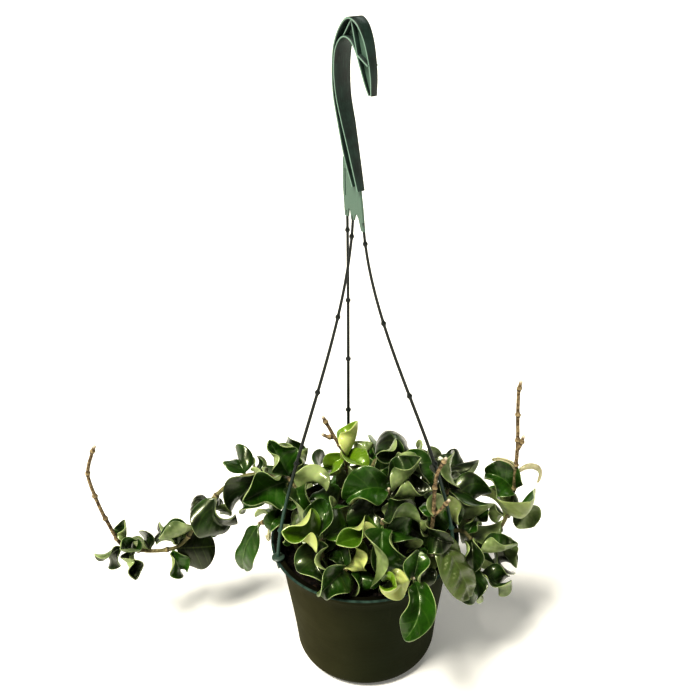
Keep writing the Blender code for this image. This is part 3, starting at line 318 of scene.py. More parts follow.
# Hook outline in its own plane, along and over the rim, followed from the shank over the arch, given in mm
OUTER_FLANGE = np.array((
    (-7.1, 289), (-14.4, 308), (-18.7, 328), (-22.2, 346), (-22.2, 362), (-20, 376), (-14.5, 387),
    (-6.5, 393.5), (1.5, 391), (7.5, 383), (11.2, 372), (13, 361), (12.8, 350.5),
)) / 1000
OUTER_HALF_WIDTHS = np.array((3, 4, 5.2, 6, 6.5, 6.5, 6, 5.5, 4.8, 4, 3.3, 2.8, 2.4)) / 1000
INNER_FLANGE = np.array((
    (-1.4, 287), (-7.5, 308), (-14, 329), (-19, 345), (-20.5, 360), (-19.2, 372), (-16, 379), (-11, 382.5),
    (-5, 381.2), (0, 375.5), (3.8, 366), (7.4, 357), (10.6, 350.5),
)) / 1000
INNER_HALF_WIDTHS = np.array((3, 4.2, 5.5, 6, 6.5, 6.5, 6, 5.5, 5, 4.4, 3.6, 3, 2.4)) / 1000
RIBS = np.array((
    ((-19.2, 372), (-20.5, 376.5)), ((-15, 380), (-4.5, 393)), ((-4.5, 393), (1.5, 373)),
    ((1.5, 373), (11.8, 368)),
)) / 1000
PLATE = np.array((
    (-14.4, 308), (-18, 309), (-20.3, 305), (-20.6, 285), (-19, 266), (-16, 266), (-15.2, 271.5), (-14, 272.5),
    (-12.8, 271), (-11.8, 265), (-9.2, 265), (-7.8, 269), (-5.8, 270.5), (-3.6, 268), (-0.6, 260), (2.2, 260),
    (0.6, 274), (-1.2, 287),
)) / 1000
SLOT = np.array(((-18.6, 280), (-18.6, 299), (-17.2, 299), (-17.2, 280))) / 1000

# Corners of a band's cross-section: which side, which face, and whether they are drawn in from either
BAND_CORNERS = (
    (1, 1, 1, 0), (1, 1, 0, 1), (1, -1, 0, 1), (1, -1, 1, 0),
    (-1, -1, 1, 0), (-1, -1, 0, 1), (-1, 1, 0, 1), (-1, 1, 1, 0),
)


def unit(vectors):
    """Vectors divided by their lengths."""
    return vectors / (np.linalg.norm(vectors, axis=-1, keepdims=True) + 1e-12)


def smooth_path(points, places):
    """A Catmull-Rom curve through the points, read at places counted in points."""
    points = np.asarray(points, float)
    padded = np.vstack([2 * points[0] - points[1], points, 2 * points[-1] - points[-2]])
    places = np.clip(np.asarray(places, float), 0, len(points) - 1 - 1e-9)
    i = places.astype(int)
    t = (places - i)[:, None]
    a, b, c, d = padded[i], padded[i + 1], padded[i + 2], padded[i + 3]
    return 0.5 * (2 * b + (c - a) * t + (2 * a - 5 * b + 4 * c - d) * t**2 + (3 * b - a - 3 * c + d) * t**3)


def hook_point(along, over_rim, off=0.0):
    """World place of a point in the hook's plane: along its width, over the rim, and off the plane."""
    c, s = math.cos(HOOK_TURN), math.sin(HOOK_TURN)
    return along * c - off * s, along * s + off * c, POT_HEIGHT + over_rim


def leg_path(leg):
    """The middle line of a leg: a cubic from the plate straight down, out, and down into its clip."""
    start = np.array(hook_point(*leg["plate"]))
    end = np.array([*clip_place(leg), POT_HEIGHT + DISC_THICK])
    outward = (end - start) * (1, 1, 0)
    outward /= np.linalg.norm(outward)
    first = start + (0, 0, -leg["fall"]) + outward * LEG_LEAN
    last = end + (0, 0, leg["rise"]) - outward * LEG_LEAN
    t = np.linspace(0, 1, LEG_SAMPLES)[:, None]
    return (1 - t) ** 3 * start + 3 * (1 - t) ** 2 * t * first + 3 * (1 - t) * t**2 * last + t**3 * end


def joined(parts):
    """Points, face arrays and values of several parts as one."""
    starts = np.cumsum([0] + [len(points) for points, _, _ in parts])
    blocks = [block + start for (_, part_blocks, _), start in zip(parts, starts) for block in part_blocks]
    values = {
        label: np.concatenate([np.broadcast_to(numbers[label], len(points)) for points, _, numbers in parts])
        for label in parts[0][2]
    }
    return np.vstack([points for points, _, _ in parts]), blocks, values


def round_tube(path, radii, sides):
    """A tube closed by a point in each end: rings stand across the path, turned as little as can be along
    it; radii gives one number for each ring, or one for each side too."""
    ways = unit(np.gradient(path, axis=0))
    side = np.cross(ways[0], ASKEW)
    sides_at = []
    for way in ways:
        side = side - way * (side @ way)
        side = side / np.linalg.norm(side)
        sides_at.append(side)
    sides_at = np.array(sides_at)
    over = np.cross(ways, sides_at)
    angle = np.linspace(0, 2 * math.pi, sides, endpoint=False)
    radii = np.broadcast_to(np.asarray(radii, float).reshape(len(path), -1), (len(path), sides))
    ring = sides_at[:, None] * np.cos(angle)[:, None] + over[:, None] * np.sin(angle)[:, None]
    points = np.vstack([(path[:, None] + ring * radii[..., None]).reshape(-1, 3), path[0], path[-1]])
    quads, index, turn = ring_quads(len(path), sides)
    first, last = np.full(sides, len(points) - 2), np.full(sides, len(points) - 1)
    return points, [quads, np.stack([turn[0], index[0], first], -1), np.stack([index[-1], turn[-1], last], -1)]


def evenly(path, step):
    """A path read again at even steps, with the length run at each point."""
    run = np.concatenate([[0], np.cumsum(np.linalg.norm(np.diff(path, axis=0), axis=1))])
    spots = np.linspace(0, run[-1], max(2, round(run[-1] / step)) + 1)
    return np.stack([np.interp(spots, run, path[:, k]) for k in range(3)], -1), spots


def band(path, half_widths, thick, fine):
    """A flat band along a curve in the hook's plane: eight corners stand across the curve at each place,
    drawn in where two faces meet. Its narrow sides are marked 1, for a painted highlight."""
    places = np.linspace(0, len(path) - 1, fine * (len(path) - 1) + 1)
    line = smooth_path(path, places)
    half = np.interp(places, np.arange(len(half_widths)), half_widths)
    ways = unit(np.gradient(line, axis=0))
    normals = np.stack([-ways[:, 1], ways[:, 0]], -1)
    side, over, in_side, in_over = np.array(BAND_CORNERS, float).T
    spots = line[:, None] + normals[:, None] * (over * thick * (0.5 - BAND_ROUND * in_over))[None, :, None]
    off = side * (half[:, None] - BAND_ROUND * thick * in_side)
    points = np.stack(hook_point(spots[..., 0], spots[..., 1], off), -1).reshape(-1, 3)
    quads, index, _ = ring_quads(len(line), 8)
    # The narrow sides get the painted highlight, light caught on the edges of the flanges and ribs
    rubbed = np.tile(1 - in_side, len(line))
    return points, [quads, index[:1, ::-1], index[-1:]], {"rubbed": rubbed, "web": 0.0, "leg": 0.0}


def web_part():
    """The web and the plate, with its slot: one flat outline, filled and given a thickness."""
    curve = bpy.data.curves.new("web", "CURVE")
    curve.dimensions = "2D"
    curve.fill_mode = "BOTH"
    curve.extrude = WEB_THICK / 2 - WEB_BEVEL
    curve.bevel_depth = WEB_BEVEL
    outer = smooth_path(OUTER_FLANGE, np.linspace(1, len(OUTER_FLANGE) - 1, WEB_SAMPLES))
    inner = smooth_path(INNER_FLANGE, np.linspace(len(INNER_FLANGE) - 1, 0, WEB_SAMPLES))
    sheet = np.vstack([outer, inner, PLATE[::-1][1:-1]])
    for outline in (sheet, SLOT):
        spline = curve.splines.new("POLY")
        spline.points.add(len(outline) - 1)
        spline.use_cyclic_u = True
        knots = np.zeros((len(outline), 4))
        knots[:, :2], knots[:, 3] = outline, 1
        spline.points.foreach_set("co", knots.ravel())
    holder = bpy.data.objects.new("web", curve)
    scene.collection.objects.link(holder)
    mesh = final_mesh(holder)
    bpy.data.objects.remove(holder)
    flat = np.empty(3 * len(mesh.vertices))
    mesh.vertices.foreach_get("co", flat)
    points = np.stack(hook_point(*flat.reshape(-1, 3).T), -1)
    blocks = [np.array([face.vertices[:]]) for face in mesh.polygons]
    # The web and the plate are painted paler through web: painted light
    return points, blocks, {"rubbed": 0.0, "web": 1.0, "leg": 0.0}


def leg_part(leg):
    """A thin leg: a tube along the leg's curve, a little thicker to its foot, swollen by a raised cosine
    at each nub."""
    route, run = evenly(leg_path(leg), LEG_STEP)
    nubs = NUB_START + NUB_SPACING * np.arange(NUB_COUNT)
    near = np.abs(run[:, None] - nubs[None]).min(1) / NUB_LENGTH
    radii = LEG_RADIUS_TOP + (LEG_RADIUS_END - LEG_RADIUS_TOP) * run / run[-1]
    radii = radii * LEG_SLIM * (1 + (NUB_SWELL - 1) * (0.5 + 0.5 * np.cos(np.pi * np.minimum(near, 1))))
    return *round_tube(route, radii, LEG_SIDES), {"rubbed": 0.0, "web": 0.0, "leg": 1.0}


def clip_part(leg):
    """Barb, pin and stop disc: rings of these radii stacked on an upright line, no two at one height."""
    low, top = POT_HEIGHT + SEAT_GAP, POT_HEIGHT + SEAT_GAP + DISC_THICK
    barb = POT_HEIGHT - RIM_THICK - SEAT_GAP
    profile = np.array([
        (barb - BARB_LENGTH, BARB_TIP_RADIUS), (barb - BARB_LENGTH * 0.5, (BARB_TIP_RADIUS + BARB_RADIUS) / 2),
        (barb - 0.0003, BARB_RADIUS), (barb, BARB_RADIUS - 0.0003), (barb, PIN_RADIUS), (low, PIN_RADIUS),
        (low, DISC_RADIUS - 0.0003), (low + 0.0003, DISC_RADIUS), (top - 0.0004, DISC_RADIUS),
        (top, DISC_RADIUS - 0.0005), (top + 0.0004, LEG_RADIUS_END + 0.0006),
    ])
    lift = profile[:, 0] + 1e-6 * np.arange(len(profile))
    path = np.c_[np.tile(clip_place(leg), (len(lift), 1)), lift]
    # The whole clip gets a little of the painted highlight
    return *round_tube(path, profile[:, 1], DISC_SIDES), {"rubbed": 0.38, "web": 0.0, "leg": 0.0}


# Polypropylene, moulded: satin dark green, streaked by the flow of the melt. Painted light: pale along the
# narrow sides of the flanges and ribs and on the web and the plate, and a little pale on the clips. The thin
# legs are darker, a painted shade, and paler low down, painted light.
hanger_plastic, tree, shader = new_material("moulded_polypropylene_painted_light_and_shade")
place = add(tree, "TexCoord", {}, "Object")
cloud = add(tree, "TexNoise", {"Vector": place, "Scale": 1000 / 11, "Detail": 4})
drawn = add(tree, "Mapping", {"Vector": place, "Scale": (1, 1, 0.12)})
streak = add(tree, "TexNoise", {"Vector": drawn, "Scale": 1000 / 1.1, "Detail": 3})
skin = add(tree, "TexNoise", {"Vector": place, "Scale": 1000 / 1.4, "Detail": 3})
# Painted light and shade on the legs: dark above a height of 0.2 m, a painted shade, and paler below 0.15 m,
# painted light
much = add(tree, "MapRange", {0: add(tree, "SeparateXYZ", {0: place}, 2), 1: 0.15, 2: 0.2}, **EASE)
thin = add(tree, "Mix", {0: much, 6: "#2f5044", 7: "#070d08"}, **BLEND)
web, rubbed, leg = (add(tree, "Attribute", {}, "Fac", attribute_name=name) for name in ("web", "rubbed", "leg"))
base = "#132019"
# This list paints light: web and plate pale, edges and clips paler still; the legs get their painted light and
# shade
for mask, low, high, most, colour in (
    (cloud, 0.3, 0.75, 1, "#20372e"), (streak, 0.5, 0.75, 0.35, "#354f45"), (web, 0, 1, 0.75, "#64806f"),
    (rubbed, 0.2, 0.9, 0.8, "#8aa896"), (leg, 0, 1, 0.85, thin),
):
    much = add(tree, "MapRange", {0: mask, 1: low, 2: high, 4: most}, **EASE)
    base = add(tree, "Mix", {0: much, 6: base, 7: colour}, **BLEND)
put(shader["Base Color"], base)
put(shader["Roughness"], add(tree, "MapRange", {0: cloud, 1: 0.2, 2: 0.8, 3: 0.34, 4: 0.52}))
put(shader["Normal"], add(tree, "Bump", {"Height": skin, "Distance": 0.0002, "Strength": 0.5}))

parts = [band(OUTER_FLANGE, OUTER_HALF_WIDTHS, FLANGE_THICK, FLANGE_FINE)]
parts += [band(INNER_FLANGE, INNER_HALF_WIDTHS, FLANGE_THICK, FLANGE_FINE)]
parts += [band(rib, (RIB_HALF_WIDTH,) * 2, FLANGE_THICK, RIB_FINE) for rib in RIBS]
parts += [web_part()] + [leg_part(leg) for leg in LEGS] + [clip_part(leg) for leg in LEGS]
hanger = mesh_piece("dressed_hanger", *joined(parts), hanger_plastic)
hanger.modifiers.new("crisp_edges", "EDGE_SPLIT").split_angle = math.radians(50)
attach(hanger, "root")
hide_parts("hanger")

# Soil: damp peat potting mix pressed in by hand, 18 mm under the rim, lumpy on top, with loose crumbs and
# chips of bark. Each stem goes down into it.
SOIL_TOP = 0.097
SOIL_CROWN = 0.003
SOIL_SIDES = 150
SOIL_SEED = 7
LUMP_PITCHES = (180, 320, 600, 1100)
LUMP_SHARE = 0.11
LUMP_FADE = 0.004
LUMP_SINK = 0.0007
CRUMBS = 420
CRUMB_SIZES = (0.0006, 0.0019)
CRUMB_FLAT = 0.6
CRUMB_SUNK = 0.0002
CHIP_SHARE = 0.2

# Peat and bark, damp: nearly black, rough all over, a few chips brown
soil_mix, tree, shader = new_material("damp_peat_and_bark")
place = add(tree, "TexCoord", {}, "Object")
crumb = add(tree, "TexNoise", {"Vector": place, "Scale": 1000 / 2.4, "Detail": 6})
fibre = add(tree, "TexNoise", {"Vector": place, "Scale": 1000 / 3.3})
much = add(tree, "MapRange", {0: crumb, 1: 0.35, 2: 0.75}, **EASE)
earth = add(tree, "Mix", {0: much, 6: "#0a0805", 7: "#2c2118"}, **BLEND)
wood = add(tree, "Mix", {0: fibre, 6: "#2e2014", 7: "#5f4d38"}, **BLEND)
chip = add(tree, "Attribute", {}, "Fac", attribute_name="chip")
put(shader["Base Color"], add(tree, "Mix", {0: chip, 6: earth, 7: wood}, **BLEND))
shader["Roughness"].default_value = 0.95
shader["Specular IOR Level"].default_value = 0.25
put(shader["Normal"], add(tree, "Bump", {"Height": crumb, "Distance": 0.002}))

# The body is turned from a low crown; its top is raised and sunk by sine waves of four pitches
rng = np.random.default_rng(SOIL_SEED)
soil_radius = pot_radius(SOIL_TOP) - POT_WALL - SEAT_GAP
profile = [(soil_radius * s, SOIL_TOP + SOIL_CROWN * (1 - s**3)) for s in np.linspace(0.02, 1, 46)]
profile.append((FOOT_RADIUS + FOOT_CORNER - POT_WALL - SEAT_GAP, FOOT_CORNER))
profile += [(FOOT_RADIUS, POT_WALL + SEAT_GAP), (FOOT_RADIUS * 0.05, POT_WALL + SEAT_GAP)]
points, blocks = turned(profile, SOIL_SIDES)
lumps = sum(
    np.sin(points @ rng.normal(0, 1, 3) * pitch + rng.uniform(0, 6)) / pitch
    for pitch in np.repeat(LUMP_PITCHES, 6)
)
fall = np.clip((soil_radius - np.hypot(points[:, 0], points[:, 1])) / LUMP_FADE, 0, 1)
points[:, 2] += np.where(points[:, 2] > SOIL_TOP - 0.0005, LUMP_SHARE * lumps * fall - LUMP_SINK, 0)
parts = [(points, blocks, {"chip": 0.0})]

# A crumb is a small ball, dented by sines, flattened and turned
bm = bmesh.new()
bmesh.ops.create_icosphere(bm, subdivisions=2, radius=1)
ball = np.array([vert.co for vert in bm.verts])
ball_faces = np.array([[vert.index for vert in face.verts] for face in bm.faces])
bm.free()
for k in range(CRUMBS):
    radius, angle = soil_radius * 0.97 * math.sqrt(rng.uniform()), rng.uniform(0, 2 * math.pi)
    size = rng.uniform(*CRUMB_SIZES)
    shape = ball * (1 + 0.25 * np.sin(ball @ rng.normal(0, 2.5, (3, 3))).sum(1, keepdims=True) / 3)
    shape = shape * rng.uniform(0.6, 1.4, 3) * (size, size, size * CRUMB_FLAT)
    spin = rng.uniform(0, math.pi)
    turn = np.array([[math.cos(spin), -math.sin(spin), 0], [math.sin(spin), math.cos(spin), 0], [0, 0, 1]])
    height = SOIL_TOP + SOIL_CROWN * (1 - (radius / soil_radius) ** 3) - CRUMB_SUNK
    spot = (radius * math.cos(angle), radius * math.sin(angle), height)
    parts.append((shape @ turn.T + spot, [ball_faces], {"chip": float(rng.uniform() < CHIP_SHARE)}))
soil = mesh_piece("dressed_soil", *joined(parts), soil_mix)
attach(soil, "root")
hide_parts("soil")

# Stems: woody vines, as thick as a pencil lead, that root in the soil and bend over the rim. Their bare
# ends and side twigs are dry, with a swollen knuckle where each pair of leaves was, and a pale cut tip.
STEM_RADIUS = 0.0019
TWIG_RADIUS = 0.0013
TIP_SHARE = 0.75
TIP_LENGTH = 0.0008
PATH_STEPS = 60
TWIG_SIDES = 12
RING_STEP = 0.0009
NODE_SPACING = 0.0235
NODE_LENGTH = 0.0016
SCAR_DROP = 0.0012
SCAR_LENGTH = 0.0008
NODE_SWELL = 0.42
NODE_WIDEN = 0.25
NODE_SHIFT = 0.002
TIP_TO_NODE = 0.006
NODES_FROM = 0.2
BARK_RIDGE = 0.05
CUT_LENGTH = 0.0022
TWIG_SEED = 7

# In mm here, and in metres after the table. A stem goes up at its root by two points, in the soil and over
# it, and runs on through its points to the tip. A listed leaf is (place along all these points, compass
# angle, rise, roll, length, form), and some give an age too: 0 is old and dark, 1 young and yellow. pairs
# gives the opposite leaves that follow the rule: first place, last place, how many pairs, length.
ROOT_HEIGHTS = (85, 106)
SHOOTS = (
    {
        "name": "stem_left_trailer", "root": (-44, 22), "points": (
            (-54, 27, 130), (-74, 30, 148), (-95, 30, 151), (-110, 29, 144), (-124, 27, 132), (-138, 24, 115),
            (-148, 22, 96), (-158, 20, 85), (-172, 18, 82), (-188, 16, 84), (-203, 14, 91), (-212, 12, 121),
            (-217, 12, 144), (-219, 11, 168), (-213, 10, 187), (-209, 10, 196),
        ),
        "leaves": (
            (4.2, 120, 50, 20, 30, "saddle"), (3.4, 214, -20, 45, 40, "boat"),
            (7.2, 120, 45, 40, 28, "dome", 0.0), (9.35, -5, 4, -49, 36, "disc", 0.0),
            (5.9, 245, -45, -15, 42, "saddle"), (6.4, 305, -42, -20, 32, "boat"), (11.1, 235, 30, 0, 30, "cup"),
            (12.0, 195, -25, 60, 28, "boat"), (11.7, 285, -30, 0, 30, "cup"), (9.4, 290, -45, 0, 28, "boat"),
            (12.0, 60, 55, 0, 23, "cup"), (10.6, 120, 35, 0, 28, "scroll"), (8.3, 150, 32, 40, 22, "dome"),
            (9.0, 150, 45, 20, 28, "boat"),
        ),
        "pairs": (3.6, 7.6, 2, 30),
    },
    {
        "name": "stem_right_trailer", "root": (44, 14), "points": (
            (54, 12, 126), (68, 10, 134), (82, 6, 124), (93, 2, 108), (103, 1, 104), (111, 3, 116),
            (117, 5, 131), (119, 5, 147), (119, 5, 168), (119, 5, 194), (117, 5, 223), (116, 5, 243),
            (117, 5, 254),
        ),
        "side_twigs": (((118.8, 5, 190), (121.5, 4, 198), (122.5, 3, 206)),),
        "leaves": (
            (7.9, 288, 20, 0, 50, "ladle", 0.55), (9.0, 165, 55, 30, 35, "boat"),
            (7.4, 205, -15, 140, 46, "boat"), (6.7, 270, -10, 10, 37, "cup"), (6.0, -42, -45, 0, 42, "boat"),
            (5.0, -60, -50, 0, 35, "saddle"), (8.2, 15, -15, 0, 32, "saddle"), (5.3, 0, -60, 0, 32, "cup"),
            (10.0, 150, 50, 0, 30, "dried"), (10.0, 10, 30, 0, 34, "dried"),
        ),
        "pairs": (2.6, 7.4, 3, 34),
    },
    {
        "name": "stem_front_middle", "root": (16, -28), "points": ((15, -34, 134), (13, -40, 162)),
        "leaves": (
            (3.0, 264, -36, 0, 50, "boat", 0.45), (2.6, -30, 10, -20, 32, "saddle"),
            (2.6, 215, 5, 30, 44, "cup", 0.75), (2.3, 240, 0, 0, 35, "scroll"),
        ),
        "pairs": (1.9, 2.7, 2, 33),
    },
    {
        "name": "stem_right_front", "root": (40, -24),
        "points": ((47, -28, 124), (51, -30, 143), (52, -30, 165), (53, -30, 193), (60, -28, 209)),
        "side_twigs": (
            ((51.8, -30, 156), (58, -29, 162), (64, -28, 170)),
            ((50.5, -30, 140), (51.5, -36, 134), (51, -41, 126)),
        ),
        "leaves": (
            (3.0, -50, -25, 0, 62, "broad", 0.15), (2.6, 205, 20, 40, 39, "boat"),
            (3.3, 160, 30, 30, 30, "scroll"), (2.2, -60, -35, 0, 44, "saddle"), (1.8, 240, -5, 20, 42, "broad"),
        ),
        "pairs": (1.7, 3.0, 3, 33),
    },
    {
        "name": "stem_front_right", "root": (22, -40), "points": ((29, -56, 121), (36, -71, 133)),
        "leaves": (
            (3.0, 297, -30, -14, 48, "over", 0.5), (3.0, 196, -4, 229, 32, "boat", 0.9),
            (2.3, -25, 5, 0, 30, "saddle"), (2.0, 230, 10, 20, 30, "cup"),
        ),
        "pairs": (1.7, 2.6, 2, 30),
    },
    {
        "name": "stem_front_left", "root": (-32, -30), "points": ((-33, -36, 128), (-33, -40, 146)),
        "leaves": (
            (3.0, 195, 30, 30, 40, "cup", 0.8), (2.5, 255, -20, 0, 39, "boat"), (3.0, 80, 70, 0, 35, "boat"),
            (2.8, 10, 30, -20, 39, "saddle", 0.7), (1.9, 225, 0, 20, 35, "scroll"),
        ),
        "pairs": (1.6, 2.4, 2, 32),
    },
    {
        "name": "stem_front_centre", "root": (-4, -38), "points": ((-10, -47, 120), (-18, -56, 127)),
        "leaves": (
            (3.0, 192, -5, 45, 36, "boat", 0.35), (2.8, 290, -25, 0, 22, "dome"),
            (2.6, 345, 0, 131, 32, "boat", 0.9), (2.4, 25, 35, -25, 34, "scroll"),
            (2.2, 160, 35, 30, 32, "cup"), (3.0, 60, 50, 0, 30, "saddle"),
        ),
        "pairs": (1.6, 2.4, 2, 30),
    },
    {
        "name": "stem_left_inner", "root": (-34, 4), "points": ((-42, 4, 130), (-52, 6, 150), (-62, 12, 164)),
        "leaves": (
            (4.0, 130, 50, 0, 37, "cup"), (3.8, 50, 60, 0, 40, "cup"), (3.3, 20, 60, 0, 42, "boat"),
            (3.3, 280, 15, 0, 40, "scroll"), (3.7, 218, 0, 30, 48, "cup"), (4.0, 195, 35, 20, 33, "boat"),
            (2.5, 320, 20, 0, 42, "saddle"),
        ),
        "pairs": (1.8, 3.0, 2, 33),
    },
    {
        "name": "stem_left_low", "root": (-54, -12),
        "points": ((-62, -10, 124), (-74, -6, 132), (-86, -2, 127)),
        "leaves": (
            (3.8, 215, -40, 0, 44, "broad"), (3.2, 290, -30, 0, 26, "dried"), (2.6, 100, 30, 0, 33, "boat"),
        ),
        "pairs": (2.0, 2.8, 2, 28),
    },
    {
        "name": "stem_middle_back", "root": (-8, 18),
        "points": ((-11, 24, 135), (-14, 28, 158), (-17, 28, 174), (-25, 29, 191), (-33, 30, 208)),
        "side_twigs": (((-23.5, 29, 188), (-30, 28, 190), (-34, 27, 193)),),
        "leaves": (
            (3.7, 20, 55, 0, 33, "cup", 1.0), (3.6, -35, 40, 0, 32, "boat", 0.9),
            (3.6, 205, 20, 0, 26, "scroll", 0.9), (3.1, 215, -5, 30, 48, "saddle"),
            (3.2, -45, -15, 150, 40, "boat"), (2.6, 268, 10, 0, 39, "bowl"),
        ),
        "pairs": (1.8, 3.3, 2, 35),
    },
    {
        "name": "stem_centre", "root": (10, -4), "points": ((12, -8, 132), (16, -10, 152), (19, -8, 166)),
        "leaves": (
            (3.8, 200, 35, 20, 40, "boat"), (4.0, 0, 35, -20, 40, "cup"), (3.0, 200, 5, 20, 40, "saddle"),
            (3.4, -40, 10, 0, 42, "cup"),
        ),
        "pairs": (2.0, 3.2, 2, 35),
    },
    {
        "name": "stem_top_right", "root": (20, 28), "points": ((24, 32, 134), (29, 30, 152), (33, 28, 163)),
        "leaves": (
            (4.0, 200, 30, 20, 36, "cup"), (3.9, 110, 42, 0, 50, "dome"), (3.8, 285, 20, 0, 39, "boat"),
            (3.6, 0, 35, 0, 40, "boat"),
        ),
        "pairs": (2.0, 3.4, 3, 34),
    },
    {
        "name": "stem_right_middle", "root": (52, -2), "points": ((57, -2, 128), (62, 2, 146), (68, 4, 157)),
        "leaves": (
            (3.7, -10, 25, -30, 46, "scroll"), (3.6, 125, 60, 0, 39, "boat"), (3.0, -60, 0, 0, 39, "saddle"),
        ),
        "pairs": (2.0, 3.4, 3, 35),
    },
    {
        "name": "stem_right_low", "root": (58, -14),
        "points": ((66, -10, 121), (79, -12, 124), (89, -20, 111), (90, -30, 93)),
        "leaves": (
            (5.0, -25, -15, 0, 32, "boat"), (4.5, 235, -45, 0, 34, "boat"), (5.0, 275, -60, 0, 28, "cup"),
            (4.0, -20, 10, 0, 34, "cup"),
        ),
        "pairs": (3.4, 4.6, 1, 28),
    },
    {
        "name": "stem_back_left", "root": (-26, 44),
        "points": ((-36, 54, 125), (-50, 66, 130), (-64, 80, 120), (-72, 90, 100)),
        "pairs": (2.2, 5.0, 3, 36),
    },
    {
        "name": "stem_back_centre", "root": (0, 50),
        "points": ((4, 60, 124), (8, 74, 129), (12, 90, 119), (14, 100, 98)),
        "pairs": (2.2, 5.0, 3, 36),
    },
    {
        "name": "stem_back_right", "root": (36, 40),
        "points": ((46, 48, 124), (60, 58, 129), (74, 68, 118), (82, 74, 98)),
        "pairs": (2.2, 5.0, 3, 36),
    },
)
for shoot in SHOOTS:
    roots = [(*shoot["root"], height) for height in ROOT_HEIGHTS]
    shoot["points"] = np.array([*roots, *shoot["points"]]) / 1000
    shoot["side_twigs"] = [np.array(twig) / 1000 for twig in shoot.get("side_twigs", ())]
    shoot["leaves"] = [(*order[:4], order[4] / 1000, *order[5:]) for order in shoot.get("leaves", ())]
    shoot["pairs"] = (*shoot["pairs"][:3], shoot["pairs"][3] / 1000)


def twig_part(path, radius_start, radius_end, rng, leafy=0.0):
    """A stem as a round tube: its radius narrows evenly, swells as a bell curve at each knuckle, more on
    two sides that change from knuckle to knuckle, and wavers by sines round and along it. leafy is the
    share of its length that carries leaves."""
    route, run = evenly(path, RING_STEP)
    share = run / run[-1]
    spots = np.arange(run[-1] - TIP_TO_NODE, 0, -NODE_SPACING) + rng.uniform(-NODE_SHIFT, NODE_SHIFT)
    spots = spots[spots > leafy * run[-1] * NODES_FROM]
    past = run[:, None] - np.append(spots, -1.0)[None]  # one far off, for a twig with no knuckle
    node = np.exp(-(np.abs(past).min(1) / NODE_LENGTH) ** 2)
    scar = np.exp(-(np.abs(past + SCAR_DROP).min(1) / SCAR_LENGTH) ** 2)
    radii = (radius_start + (radius_end - radius_start) * share) * (1 + NODE_SWELL * node)
    angle = np.linspace(0, 2 * math.pi, TWIG_SIDES, endpoint=False)
    ridge = 1 + BARK_RIDGE * np.sin(angle[None] * 3 + rng.uniform(0, 6) + 4 * np.sin(run[:, None] * 160))
    crossed = 1.6 * np.round(run[:, None] / NODE_SPACING)
    ridge = ridge + NODE_WIDEN * node[:, None] * np.cos(angle[None] * 2 + crossed) ** 2
    tip = np.clip((run[-1] - run) / TIP_LENGTH, TIP_SHARE, 1)
    points, blocks = round_tube(route, radii[:, None] * ridge * tip[:, None], TWIG_SIDES)
    values = {
        "node": node, "scar": scar, "cut": np.clip(1 - (run[-1] - run) / CUT_LENGTH, 0, 1),
        "green": np.clip((leafy - share) * 6, 0, 1),
    }
    return points, blocks, {
        label: np.concatenate([np.repeat(numbers, TWIG_SIDES), numbers[[0, -1]]])
        for label, numbers in values.items()
    }


# Bark of a woody vine, dry: grey-brown, streaked along at 2 mm, greenish where leaves still grow, with pale
# knuckles, a dark scar under each and a pale cut tip
bark, tree, shader = new_material("dry_vine_bark")
place = add(tree, "TexCoord", {}, "Object")
streak = add(tree, "TexNoise", {"Vector": place, "Scale": 1000 / 2.4, "Detail": 4})
spots = add(tree, "TexNoise", {"Vector": place, "Scale": 1000 / 0.65})
node, scar, cut, green = (
    add(tree, "Attribute", {}, "Fac", attribute_name=name) for name in ("node", "scar", "cut", "green")
)
much = add(tree, "MapRange", {0: streak, 1: 0.3, 2: 0.75}, **EASE)
wood = add(tree, "Mix", {0: much, 6: "#46351f", 7: "#a3906c"}, **BLEND)
much = add(tree, "Math", {0: green, 1: 0.55}, operation="MULTIPLY")
wood = add(tree, "Mix", {0: much, 6: wood, 7: "#6f7546"}, **BLEND)
for mask, low, high, most, colour in (
    (spots, 0.6, 0.75, 0.6, "#2c2016"), (node, 0.2, 1.0, 0.5, "#b3a27a"), (scar, 0.2, 0.9, 0.85, "#24150a"),
):
    much = add(tree, "MapRange", {0: mask, 1: low, 2: high, 4: most}, **EASE)
    wood = add(tree, "Mix", {0: much, 6: wood, 7: colour}, **BLEND)
put(shader["Base Color"], add(tree, "Mix", {0: cut, 6: wood, 7: "#d9cdb8"}, **BLEND))
shader["Roughness"].default_value = 0.78
fine = add(tree, "Bump", {"Height": spots, "Distance": 0.0002, "Strength": 0.6})
put(shader["Normal"], add(tree, "Bump", {"Height": streak, "Distance": 0.0006, "Strength": 0.7, "Normal": fine}))

for number, shoot in enumerate(SHOOTS):
    rng = np.random.default_rng(TWIG_SEED + number)
    knots = len(shoot["points"])
    path = smooth_path(shoot["points"], np.linspace(0, knots - 1, PATH_STEPS * knots))
    last_leaf = max([order[0] for order in shoot["leaves"]] + [shoot["pairs"][1]])
    parts = [twig_part(path, STEM_RADIUS, TWIG_RADIUS, rng, last_leaf / (knots - 1))]
    for twig in shoot["side_twigs"]:
        side = smooth_path(twig, np.linspace(0, len(twig) - 1, PATH_STEPS))
        parts.append(twig_part(side, TWIG_RADIUS, TWIG_RADIUS, rng))
    stem = mesh_piece(shoot["name"].replace("stem_", "vine_"), *joined(parts), bark)
    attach(stem, "root")
    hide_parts(shoot["name"])

